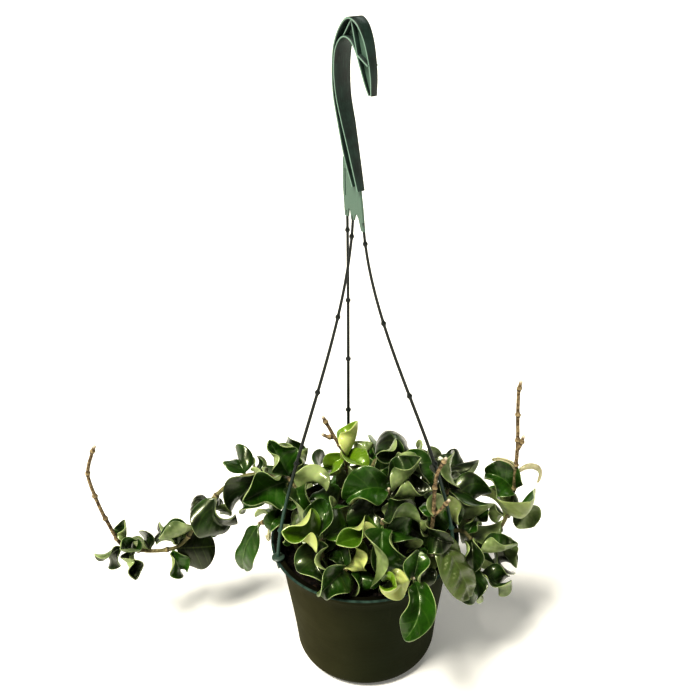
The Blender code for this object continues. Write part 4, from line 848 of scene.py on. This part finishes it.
# Leaves: thick waxy leaves on short stalks, in opposite pairs, each folded, cupped or curled its own way.
# A leaf is its solid's middle surface made fine and given a blade 1.3 mm thick.
PETIOLE = 0.09
PETIOLE_HALF_WIDTH = 0.0017
LEAF_THICK = 0.0010
HALF_WIDTH_SHARE = 0.42
BLADE_THICK = 0.0013
STALK_THICK = 0.0024
LEAF_START = 0.015
LEAF_END = 0.9985
LEAF_ROWS = 34
LEAF_COLUMNS = 24
EDGE_ROUND = 14
END_ROUND = 40
STALK_FADE = 7
SIDE_VEINS = 5
VEIN_SLANT = 0.42
PUCKER = 0.00028
PUCKERS = (0.5, 1.6)
SILVER_PUCKER = 5
RIB_GROOVE = 0.0004
GROOVE_HALF = 0.9
VEIN_SHIFT = (-0.5, 0.5)
EDGE_MOST = 6
RIB_MOST = 40
LEAF_SEED = 7
ROWS = 4
COLUMNS = 4
TIGHT_CURL = 140
SHORT_LEAF = 0.032
MIDRIB_STEPS = 48
ROUND_BASE = 0.55
POINTED_TIP = 0.75
LATE_BEND = 1.3
WAVE_OFFSET = 1.7
WAVES = (0.8, 1.3)
LEAST_CUP = 0.001
VARIETY = 0.1
PAIR_LEAN = 0.4
PAIR_ASKEW = (0.3, -0.2, 1)
PAIR_TURN = 15
PAIR_RISE = 10
PAIR_ROLL = 30
PAIR_LENGTHS = (0.85, 1.1)

# How a leaf folds, in degrees: fold is the angle of each half at the midrib, cup how much further it
# turns by the margin, flare how far that swings along the blade, bend the pitch of the whole midrib (minus
# curls the tip under), sweep its sideways turn, twist its corkscrew. broad widens the blade, and tip is a
# power under the usual one for a rounder tip.
FORM_PARTS = ("fold", "cup", "flare", "bend", "sweep", "twist", "broad", "tip")
FORMS = {
    "boat": (35, 40, 75, -95, 25, 30, 1.15),
    "saddle": (50, -60, 60, -150, 25, 35, 1.15),
    "scroll": (35, 35, 65, -230, 25, 25, 1.05),
    "cup": (30, 75, 60, 30, 20, 25, 1.2),
    "bowl": (22, 85, 40, -70, 10, 0, 1.25),
    "ladle": (25, 60, 15, 80, 0, 0, 1.3),
    "broad": (15, -60, 25, -60, 10, 5, 0.66, 0.5),
    "dome": (-15, -75, 15, -90, 0, 5, 1.25, 0.45),
    "disc": (-8, -45, 12, -55, 5, 5, 1.3, 0.45),
    "over": (28, 40, 25, -25, -75, -8, 0.9),
    "dried": (50, 60, 10, -150, 10, 60, 0.3),
}
RULE_FORMS = ("boat", "saddle", "scroll", "cup", "bowl", "saddle")

# Placing: clearances, so that no shoot crosses another, the pot or the hanger; how fine the tested shapes
# are; and how far a leaf is turned, slid and shortened at each try
GAP_OTHER_SHOOT = 0.0009
GAP_FIXED = 0.0007
GAP_POT = 0.0013
SAMPLE_ROWS = 10
SAMPLE_COLUMNS = 7
RIM_MIDDLE = 0.0732
RIM_SAMPLES = 49
KNUCKLE_SWELL = 1.35
TRIES = 80
TURN_STEP = 1.6
RISE_STEP = 1.12
SLIDE_STEP = 0.008
ROOT_SUNK = 0.2
SHRINK_STEP = 0.005
LISTED_SEED = 78
PAIRED_SEED = 178

# The one listed leaf with a silvery bloom on it, and the ages of leaves that give none
SILVERY = ("stem_right_front", 0)
AGES = (0, 0.6)


def heading(compass, rise, roll):
    """Unit vectors forward, left and up for a leaf that leaves its stem this way, angles in degrees."""
    compass, rise, roll = np.radians([compass, rise, roll])
    level = np.array([math.cos(compass), math.sin(compass), 0])
    upright = np.array([0, 0, 1])
    forward = level * math.cos(rise) + upright * math.sin(rise)
    up = upright * math.cos(rise) - level * math.sin(rise)
    left = np.cross(up, forward)
    return forward, left * math.cos(roll) - up * math.sin(roll), up * math.cos(roll) + left * math.sin(roll)


def bearing(form, along):
    """The share of the blade at each place along a leaf, and the midrib's pitch and sweep there."""
    blade = np.clip((along - PETIOLE) / (1 - PETIOLE), 0, 1)
    return blade, np.radians(form["bend"]) * blade**LATE_BEND, np.radians(form["sweep"]) * blade


def leaf_surface(leaf, along, across):
    """The leaf's middle surface on a grid. The midrib pitches, sweeps and twists along the blade; each
    half leaves it at the fold angle and turns by the cup angle as an arc, which swings in and out."""
    form = leaf["form"]
    length = leaf["length"]
    half = length * HALF_WIDTH_SHARE * form["broad"]
    fine = np.linspace(0, 1, MIDRIB_STEPS + 1)
    blade, pitch, sweep = bearing(form, fine)
    tangent = np.stack([np.cos(pitch) * np.cos(sweep), np.cos(pitch) * np.sin(sweep), np.sin(pitch)], -1)
    steps = (tangent[1:] + tangent[:-1]) / 2 * length / MIDRIB_STEPS
    midrib = np.vstack([np.zeros(3), np.cumsum(steps, axis=0)])
    across = across[None]
    centre = np.stack([np.interp(along, fine, midrib[:, k]) for k in range(3)], -1)[:, None]
    blade, pitch, sweep = bearing(form, along)
    twist = (np.radians(form["twist"]) * blade)[:, None, None]
    normal = np.stack([-np.sin(pitch) * np.cos(sweep), -np.sin(pitch) * np.sin(sweep), np.cos(pitch)], -1)
    side = np.stack([-np.sin(sweep), np.cos(sweep), np.zeros_like(sweep)], -1)
    normal, side = normal[:, None], side[:, None]
    c, s = np.cos(twist), np.sin(twist)
    normal, side = normal * c + side * s, side * c - normal * s
    tip = form.get("tip", POINTED_TIP)
    widest = ROUND_BASE / (ROUND_BASE + tip)
    outline = (blade / widest) ** ROUND_BASE * ((1 - blade) / (1 - widest)) ** tip * half
    stalk = PETIOLE_HALF_WIDTH * np.clip(along / PETIOLE, 0, 1) * (1 - blade)
    reach = np.maximum(outline, stalk)[:, None] * np.abs(across)
    share = reach / half
    fold = np.radians(form["fold"])
    phase = leaf["phase"] + WAVE_OFFSET * (across > 0)
    ripple = np.sin(2 * np.pi * form["waves"] * blade[:, None] + phase)
    cup = np.radians(form["cup"] + form["flare"] * ripple)
    cup = np.where(np.abs(cup) < LEAST_CUP, LEAST_CUP, cup)
    out = (np.sin(fold + cup * share) - math.sin(fold)) / cup * half * np.sign(across)
    lift = (math.cos(fold) - np.cos(fold + cup * share)) / cup * half
    local = centre + side * out[..., None] + normal * lift[..., None]
    forward, left, up = heading(leaf["compass"], leaf["rise"], leaf["roll"])
    return leaf["root"] + local @ np.stack([forward, left, up])


def varied(form, by_rule, rng):
    """A form with each of its angles drawn within a tenth of its value, and a leaf that follows the rule
    turned to either hand."""
    made = {key: value * rng.uniform(1 - VARIETY, 1 + VARIETY) for key, value in form.items()}
    if by_rule:
        made["sweep"] *= rng.choice([-1, 1])
        made["twist"] *= rng.choice([-1, 1])
    made["waves"] = rng.uniform(*WAVES)
    return made


def clear_of_pot(points):
    """True where every point is inside the wall and over the soil, or above the rim, or beyond it."""
    radius = np.hypot(points[:, 0], points[:, 1])
    height = points[:, 2]
    inside = (radius < WALL_TOP_RADIUS - POT_WALL - GAP_POT) & (height > SOIL_TOP + SOIL_CROWN + GAP_POT)
    above = height > POT_HEIGHT + GAP_POT
    outside = radius > RIM_RADIUS + GAP_POT
    return bool((inside | above | outside).all())


def grid_quads(sheet):
    """Faces of a grid, given the number of each of its points."""
    return np.stack([sheet[:-1, :-1], sheet[1:, :-1], sheet[1:, 1:], sheet[:-1, 1:]], -1).reshape(-1, 4)


@functools.lru_cache
def shell_faces(rows, columns):
    """Faces of a closed shell: a grid of points, a second one under it, and the rim between them."""
    index = np.arange(2 * rows * columns).reshape(2, rows, columns)
    faces = [quad for sheet in index for quad in grid_quads(sheet).tolist()]
    for edge in (index[:, 0], index[:, -1], index[:, :, 0], index[:, :, -1]):
        faces += np.stack([edge[0, :-1], edge[0, 1:], edge[1, 1:], edge[1, :-1]], -1).tolist()
    return faces


def shell_tree(grid, offset):
    """Search tree of a leaf's two faces, each moved off its middle surface."""
    normal = np.cross(np.gradient(grid, axis=0), np.gradient(grid, axis=1))
    normal[-1] = normal[-2]
    normal /= np.linalg.norm(normal, axis=-1, keepdims=True) + 1e-12
    points = np.stack([grid + normal * offset, grid - normal * offset]).reshape(-1, 3)
    return BVHTree.FromPolygons(points.tolist(), shell_faces(*grid.shape[:2]))


def tube_tree(points, radius):
    """Search tree of a square tube round a path."""
    ways = np.gradient(points, axis=0)
    ways /= np.linalg.norm(ways, axis=1)[:, None]
    side = np.cross(ways, ASKEW)
    side /= np.linalg.norm(side, axis=1)[:, None]
    over = np.cross(ways, side)
    corners = np.stack([side + over, over - side, -side - over, side - over], 1)
    rings = points[:, None] + corners * radius
    return BVHTree.FromPolygons(rings.reshape(-1, 3).tolist(), ring_quads(len(points), 4)[0].tolist())


def row_places(leaf):
    """Where along a leaf its solid's rows stand; one that curls tightly has one row more, and a short one
    has one less."""
    curled = abs(leaf["form"]["bend"]) + abs(leaf["form"]["sweep"]) > TIGHT_CURL
    rows = ROWS + curled - (leaf["length"] < SHORT_LEAF)
    return np.concatenate([[0], np.linspace(PETIOLE, 1, rows)])


def leaf_grids(leaf):
    """The blade's middle surface twice: as coarse as its solid, and fine."""
    coarse = leaf_surface(leaf, row_places(leaf)[1:], np.linspace(-1, 1, COLUMNS + 1))
    fine = leaf_surface(leaf, np.linspace(PETIOLE, 1, SAMPLE_ROWS), np.linspace(-1, 1, SAMPLE_COLUMNS))
    return coarse, fine


def fits(leaf, grids, placed, fixed):
    """True where a leaf keeps clear of the pot, the stems, the legs and the leaves placed before it."""
    if not all(clear_of_pot(grid.reshape(-1, 3)) for grid in grids):
        return False
    low, high = grids[1].min((0, 1)) - GAP_OTHER_SHOOT, grids[1].max((0, 1)) + GAP_OTHER_SHOOT
    near = [p for p in placed if (p["low"] < high).all() and (p["high"] > low).all()]
    thin = [shell_tree(grid, LEAF_THICK / 2) for grid in grids]
    wide = [shell_tree(grid, LEAF_THICK / 2 + GAP_OTHER_SHOOT) for grid in grids]
    for name, tree in fixed:
        if name != leaf["shoot"] and (thin[0].overlap(tree) or thin[1].overlap(tree)):
            return False
    for other in near:
        shells = thin if other["shoot"] == leaf["shoot"] else wide
        if shells[0].overlap(other["trees"][0]) or shells[1].overlap(other["trees"][1]):
            return False
    placed.append({"shoot": leaf["shoot"], "low": low, "high": high, "trees": thin})
    return True


def paired_leaves(shoot, rng):
    """The opposite pairs of a shoot, each turned a quarter round the stem from the one before."""
    first, last, count, length = shoot["pairs"]
    places = np.linspace(first, last, count)
    tangents = smooth_path(shoot["points"], places + 0.05) - smooth_path(shoot["points"], places - 0.05)
    for k, (place, tangent) in enumerate(zip(places, tangents)):
        tangent /= np.linalg.norm(tangent)
        level = np.cross(tangent, PAIR_ASKEW)
        level /= np.linalg.norm(level)
        raised = np.cross(level, tangent)
        arm = raised if k % 2 else level
        for sign in (1, -1):
            way = sign * arm + PAIR_LEAN * tangent
            compass = math.degrees(math.atan2(way[1], way[0])) + rng.uniform(-PAIR_TURN, PAIR_TURN)
            rise = math.degrees(math.asin(way[2] / np.linalg.norm(way))) + rng.uniform(-PAIR_RISE, PAIR_RISE)
            form = RULE_FORMS[rng.integers(len(RULE_FORMS))]
            roll = rng.uniform(-PAIR_ROLL, PAIR_ROLL)
            yield place, compass, rise, roll, length * rng.uniform(*PAIR_LENGTHS), form


def place_leaves():
    """Every leaf: those listed for each shoot, then its opposite pairs. A leaf that would touch another
    shoot, the pot or a leg is turned, slid along its stem and shortened a little, until it is clear, or
    else left out."""
    fixed = []
    for leg in LEGS:
        fixed.append(("leg", tube_tree(leg_path(leg)[::4], LEG_RADIUS_END * NUB_SWELL + GAP_FIXED)))
    angle = np.linspace(0, 2 * math.pi, RIM_SAMPLES)
    rim = np.stack([np.cos(angle), np.sin(angle), np.zeros(RIM_SAMPLES)], -1) * RIM_MIDDLE
    fixed.append(("rim", tube_tree(rim + (0, 0, POT_HEIGHT), RIM_RADIUS - RIM_MIDDLE + GAP_FIXED)))
    for shoot in SHOOTS:
        spots = np.linspace(0.5, len(shoot["points"]) - 1, 8 * len(shoot["points"]))
        path = smooth_path(shoot["points"], spots)
        fixed.append((shoot["name"], tube_tree(path, STEM_RADIUS * KNUCKLE_SWELL + GAP_FIXED)))
        for twig in shoot["side_twigs"]:
            fixed.append((shoot["name"], tube_tree(twig, TWIG_RADIUS + GAP_FIXED)))
    orders = []
    for number, shoot in enumerate(SHOOTS):
        rng = np.random.default_rng(LISTED_SEED + number)
        orders += [(shoot, order, k, rng) for k, order in enumerate(shoot["leaves"])]
    for number, shoot in enumerate(SHOOTS):
        rng = np.random.default_rng(PAIRED_SEED + number)
        orders += [(shoot, order, None, rng) for order in paired_leaves(shoot, rng)]
    placed, leaves = [], []
    for shoot, (place, compass, rise, roll, length, form, *age), listed, rng in orders:
        leaf = {
            "shoot": shoot["name"], "form": varied(dict(zip(FORM_PARTS, FORMS[form])), listed is None, rng),
            "kind": form, "listed": listed, "age": age, "phase": rng.uniform(0, 2 * math.pi),
        }
        for attempt in range(TRIES):
            turn = rng.uniform(-1, 1, 4) * attempt
            root_place = min(place + turn[3] * SLIDE_STEP, len(shoot["points"]) - 1 - ROOT_SUNK)
            leaf["root"] = smooth_path(shoot["points"], [root_place])[0]
            leaf["compass"] = compass + turn[0] * TURN_STEP
            leaf["rise"] = rise + turn[1] * RISE_STEP
            leaf["roll"] = roll + turn[2] * TURN_STEP
            leaf["length"] = length * (1 - SHRINK_STEP * attempt)
            if fits(leaf, leaf_grids(leaf), placed, fixed):
                leaves.append(leaf)
                break
    return leaves


def leaf_part(leaf, rng):
    """A leaf as a closed blade: its middle surface is pressed into puckers between the side veins, which
    are a sine along the blade that slants away from the midrib, and grooved by a bell curve along the
    midrib. Each face lies half the thickness off it, and the thickness falls to nothing at the margin,
    where rows and columns lie closer. edge and rib are the distances from margin and midrib in mm."""
    s = np.linspace(0, 1, LEAF_ROWS + 1)
    along = LEAF_START + (LEAF_END - LEAF_START) * (0.4 * s + 0.3 * (1 - np.cos(np.pi * s)))
    across = np.sin(np.pi / 2 * np.linspace(-1, 1, LEAF_COLUMNS + 1))
    middle = leaf_surface(leaf, along, across)
    normal = np.cross(np.gradient(middle, axis=0), np.gradient(middle, axis=1))
    normal[-1], normal[0] = normal[-2], normal[1]
    normal = unit(normal)
    step = np.linalg.norm(np.diff(middle, axis=1), axis=-1)
    from_left = np.concatenate([np.zeros((len(along), 1)), np.cumsum(step, axis=1)], axis=1)
    edge = np.minimum(from_left, from_left[:, -1:] - from_left) * 1000
    rib = np.abs(from_left - from_left[:, LEAF_COLUMNS // 2:LEAF_COLUMNS // 2 + 1]) * 1000
    blade = np.clip((along - PETIOLE) / (1 - PETIOLE), 0, 1)[:, None]
    inner = 1 - across**2
    silver = float((leaf["shoot"], leaf["listed"]) == SILVERY)
    age, *_ = (*leaf["age"], rng.uniform(*AGES))
    wave = np.sin(SIDE_VEINS * 2 * np.pi * along[:, None] - VEIN_SLANT * rib + rng.uniform(*VEIN_SHIFT))
    depth = PUCKER * rng.uniform(*PUCKERS) * (1 + SILVER_PUCKER * silver)
    lift = -depth * wave * inner * np.minimum(1, rib / 3) * np.minimum(1, 6 * blade)
    lift -= RIB_GROOVE * np.exp(-(rib / GROOVE_HALF) ** 2) * (1 - blade) * np.minimum(1, 8 * blade)
    middle = middle + normal * lift[..., None]
    stalk = np.clip(1 - blade * STALK_FADE, 0, 1)
    thick = BLADE_THICK * np.sqrt(1 - np.abs(across) ** EDGE_ROUND) * (1 - stalk)
    thick = thick + STALK_THICK * np.sqrt(inner) * stalk
    thick *= np.sqrt(np.clip(1 - (2 * along[:, None] - 1) ** END_ROUND, 0.02, 1))
    offset = normal * (thick / 2)[..., None]
    rows, columns = middle.shape[:2]
    over = np.arange(rows * columns).reshape(rows, columns)
    under = over.copy()
    under[1:-1, 1:-1] = rows * columns + np.arange((rows - 2) * (columns - 2)).reshape(rows - 2, columns - 2)
    border = under == over
    top = np.where(border[..., None], middle, middle + offset)
    points = np.vstack([top.reshape(-1, 3), (middle - offset)[1:-1, 1:-1].reshape(-1, 3)])
    grids = {
        "edge": np.minimum(edge, EDGE_MOST), "rib": np.minimum(rib, RIB_MOST),
        "along": np.broadcast_to(along[:, None], edge.shape),
    }
    values = {label: np.concatenate([grid.ravel(), grid[1:-1, 1:-1].ravel()]) for label, grid in grids.items()}
    values["upper"] = np.concatenate([np.where(border, 0.5, 1.0).ravel(), np.zeros((rows - 2) * (columns - 2))])
    marks = {"age": age, "silver": silver, "dry": float(leaf["kind"] == "dried")}
    return points, [grid_quads(over), grid_quads(under)[:, [0, 3, 2, 1]]], {**values, **marks}


# Hoya leaf, living: a waxy skin over thick flesh. Glossy deep green above, dull and pale below, with a thin
# pale margin, a paler midrib and five side veins, and some leaves under a silvery bloom. Cloudy over 18 mm,
# with flecks of 1 mm. The margin fades in places. The second list starts from the lower face, and lays the
# upper one over it, then the marks of both. Dry leaves are husks.
leaf_wax, tree, shader = new_material("waxy_hoya_leaf")
place = add(tree, "TexCoord", {}, "Object")
upper, edge, rib, along, age, silver, dry = (
    add(tree, "Attribute", {}, "Fac", attribute_name=name)
    for name in ("upper", "edge", "rib", "along", "age", "silver", "dry")
)
cloud, dimple, fleck, fibre = (
    add(tree, "TexNoise", {"Vector": place, "Scale": 1000 / size, "Detail": detail})
    for size, detail in ((18, 3), (6, 2), (1.1, 2), (3.8, 4))
)
tone = add(tree, "Math", {0: age, 1: 0.9, 2: cloud}, operation="MULTIPLY_ADD")
top = "#060f01"
for mask, low, high, most, colour in (
    (tone, 0.45, 1.2, 1, "#2a5607"), (age, 0.6, 1, 0.8, "#7a981c"), (silver, 0, 1, 0.5, "#66753f"),
):
    much = add(tree, "MapRange", {0: mask, 1: low, 2: high, 4: most}, **EASE)
    top = add(tree, "Mix", {0: much, 6: top, 7: colour}, **BLEND)
slant = add(tree, "Math", {0: rib, 1: -VEIN_SLANT}, operation="MULTIPLY")
vein = add(tree, "Math", {0: along, 1: SIDE_VEINS * 2 * math.pi, 2: slant}, operation="MULTIPLY_ADD")
vein = add(tree, "Math", {0: vein}, operation="SINE")
faint = add(tree, "MapRange", {0: cloud, 1: 0.4, 2: 0.62, 3: 0.1, 4: 0.55}, **EASE)
body = "#3f5227"
for mask, low, high, most, colour in (
    (cloud, 0.3, 0.75, 1, "#a5b47c"), (age, 0.35, 1, 0.85, "#c6cd80"), (upper, 0.3, 0.7, 1, top),
    (vein, 0.8, 1, 0.06, "#86a54e"), (rib, 0.8, 0.2, 0.12, "#9ab265"), (fleck, 0.64, 0.8, 0.12, "#93a761"),
    (edge, 0.5, 0.15, faint, "#b8c48c"),
):
    much = add(tree, "MapRange", {0: mask, 1: low, 2: high, 4: most}, **EASE)
    body = add(tree, "Mix", {0: much, 6: body, 7: colour}, **BLEND)
husk = add(tree, "Mix", {0: fibre, 6: "#77704a", 7: "#d6d1b0"}, **BLEND)
put(shader["Base Color"], add(tree, "Mix", {0: dry, 6: body, 7: husk}, **BLEND))
gloss = add(tree, "Math", {0: upper, 1: -0.14, 2: 0.44}, operation="MULTIPLY_ADD")
gloss = add(tree, "Math", {0: dry, 1: 0.35, 2: gloss}, operation="MULTIPLY_ADD")
put(shader["Roughness"], add(tree, "Math", {0: cloud, 1: 0.12, 2: gloss}, operation="MULTIPLY_ADD"))
low = add(tree, "Bump", {"Height": dimple, "Distance": 0.0008, "Strength": 0.35})
put(shader["Normal"], add(tree, "Bump", {"Height": fleck, "Distance": 0.00012, "Strength": 0.5, "Normal": low}))
put(shader["Specular Tint"], "#ecf4c8")
for name, value in (
    ("Specular IOR Level", 0.65), ("Coat Weight", 0.45), ("Coat Roughness", 0.15),
    ("Subsurface Weight", 0.12), ("Subsurface Radius", (0.4, 1.0, 0.15)), ("Subsurface Scale", 0.002),
):
    shader[name].default_value = value

leaves = place_leaves()
for number, shoot in enumerate(SHOOTS):
    rng = np.random.default_rng(LEAF_SEED + number)
    parts = [leaf_part(leaf, rng) for leaf in leaves if leaf["shoot"] == shoot["name"]]
    blades = mesh_piece(shoot["name"].replace("stem_", "leaves_"), *joined(parts), leaf_wax)
    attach(blades, "root")
    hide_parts(shoot["name"])

# Studio: a plain pale floor, lit a little from below so that shadows on it stay light, a bright key from the
# upper left, a weak light from behind, and a surround that is pale near the floor and dimmer overhead. The
# camera looks down on the pot at 28 degrees; its place is in metres and its turns are in radians.
LENS_PIXELS = 834.81
FRAME_PIXELS = 700
CENTRE_PIXELS = (377.6, 337.86)
EYE_BACK = 0.5256
EYE_OVER_RIM = 0.45907
EYE_DOWN = 0.48958
EYE_RIGHT = 0.0193
FLOOR_HALF = 14


def far_light(name, way, wide, power, tint):
    """A light from far away, so that the floor is lit evenly; wide is the angle that its source fills."""
    data = bpy.data.lights.new(name, "SUN")
    data.angle = math.radians(wide)
    data.energy = power
    data.color = tint
    light = bpy.data.objects.new(name, data)
    light.location = way
    light.rotation_euler = (-Vector(way)).to_track_quat("-Z", "Y").to_euler()
    scene.collection.objects.link(light)


floor_paint, tree, shader = new_material("pale_floor")
put(shader["Base Color"], "#f1f0ec")
shader["Roughness"].default_value = 0.9
put(shader["Emission Color"], "#f1f0ec")
shader["Emission Strength"].default_value = 0.18
corners = np.array([(-1, -1, 0), (1, -1, 0), (1, 1, 0), (-1, 1, 0)]) * float(FLOOR_HALF)
floor = mesh_piece("floor", corners, [np.array([[0, 1, 2, 3]])], {}, floor_paint)

world = bpy.data.worlds.new("surround")
scene.world = world
world.use_nodes = True
sky = world.node_tree.nodes["Background"].inputs
height = add(world.node_tree, "SeparateXYZ", {0: add(world.node_tree, "TexCoord", {}, "Generated")}, 2)
put(sky["Color"], "#fbf8ee")
put(sky["Strength"], add(world.node_tree, "MapRange", {0: height, 1: 0.15, 2: 0.5, 3: 0.8, 4: 0.13}, **EASE))
far_light("key", (-0.7, -0.6, 1.8), 18, 4.9, (1, 0.96, 0.88))
far_light("rim", (0.6, 1.3, 1.4), 25, 0.5, (1, 1, 1))

data = bpy.data.cameras.new("camera")
data.sensor_width = 36
data.lens = 36 * LENS_PIXELS / FRAME_PIXELS
data.shift_x = (FRAME_PIXELS / 2 - CENTRE_PIXELS[0]) / FRAME_PIXELS
data.shift_y = (CENTRE_PIXELS[1] - FRAME_PIXELS / 2) / FRAME_PIXELS
data.clip_start = 0.01
camera = bpy.data.objects.new("camera", data)
camera.location = (0, -EYE_BACK, POT_HEIGHT + EYE_OVER_RIM)
camera.rotation_euler = (math.pi / 2 - EYE_DOWN, 0, -EYE_RIGHT)
scene.collection.objects.link(camera)
scene.camera = camera
scene.view_settings.view_transform = "Standard"
scene.view_settings.exposure = 0.15
scene.view_settings.gamma = 0.79
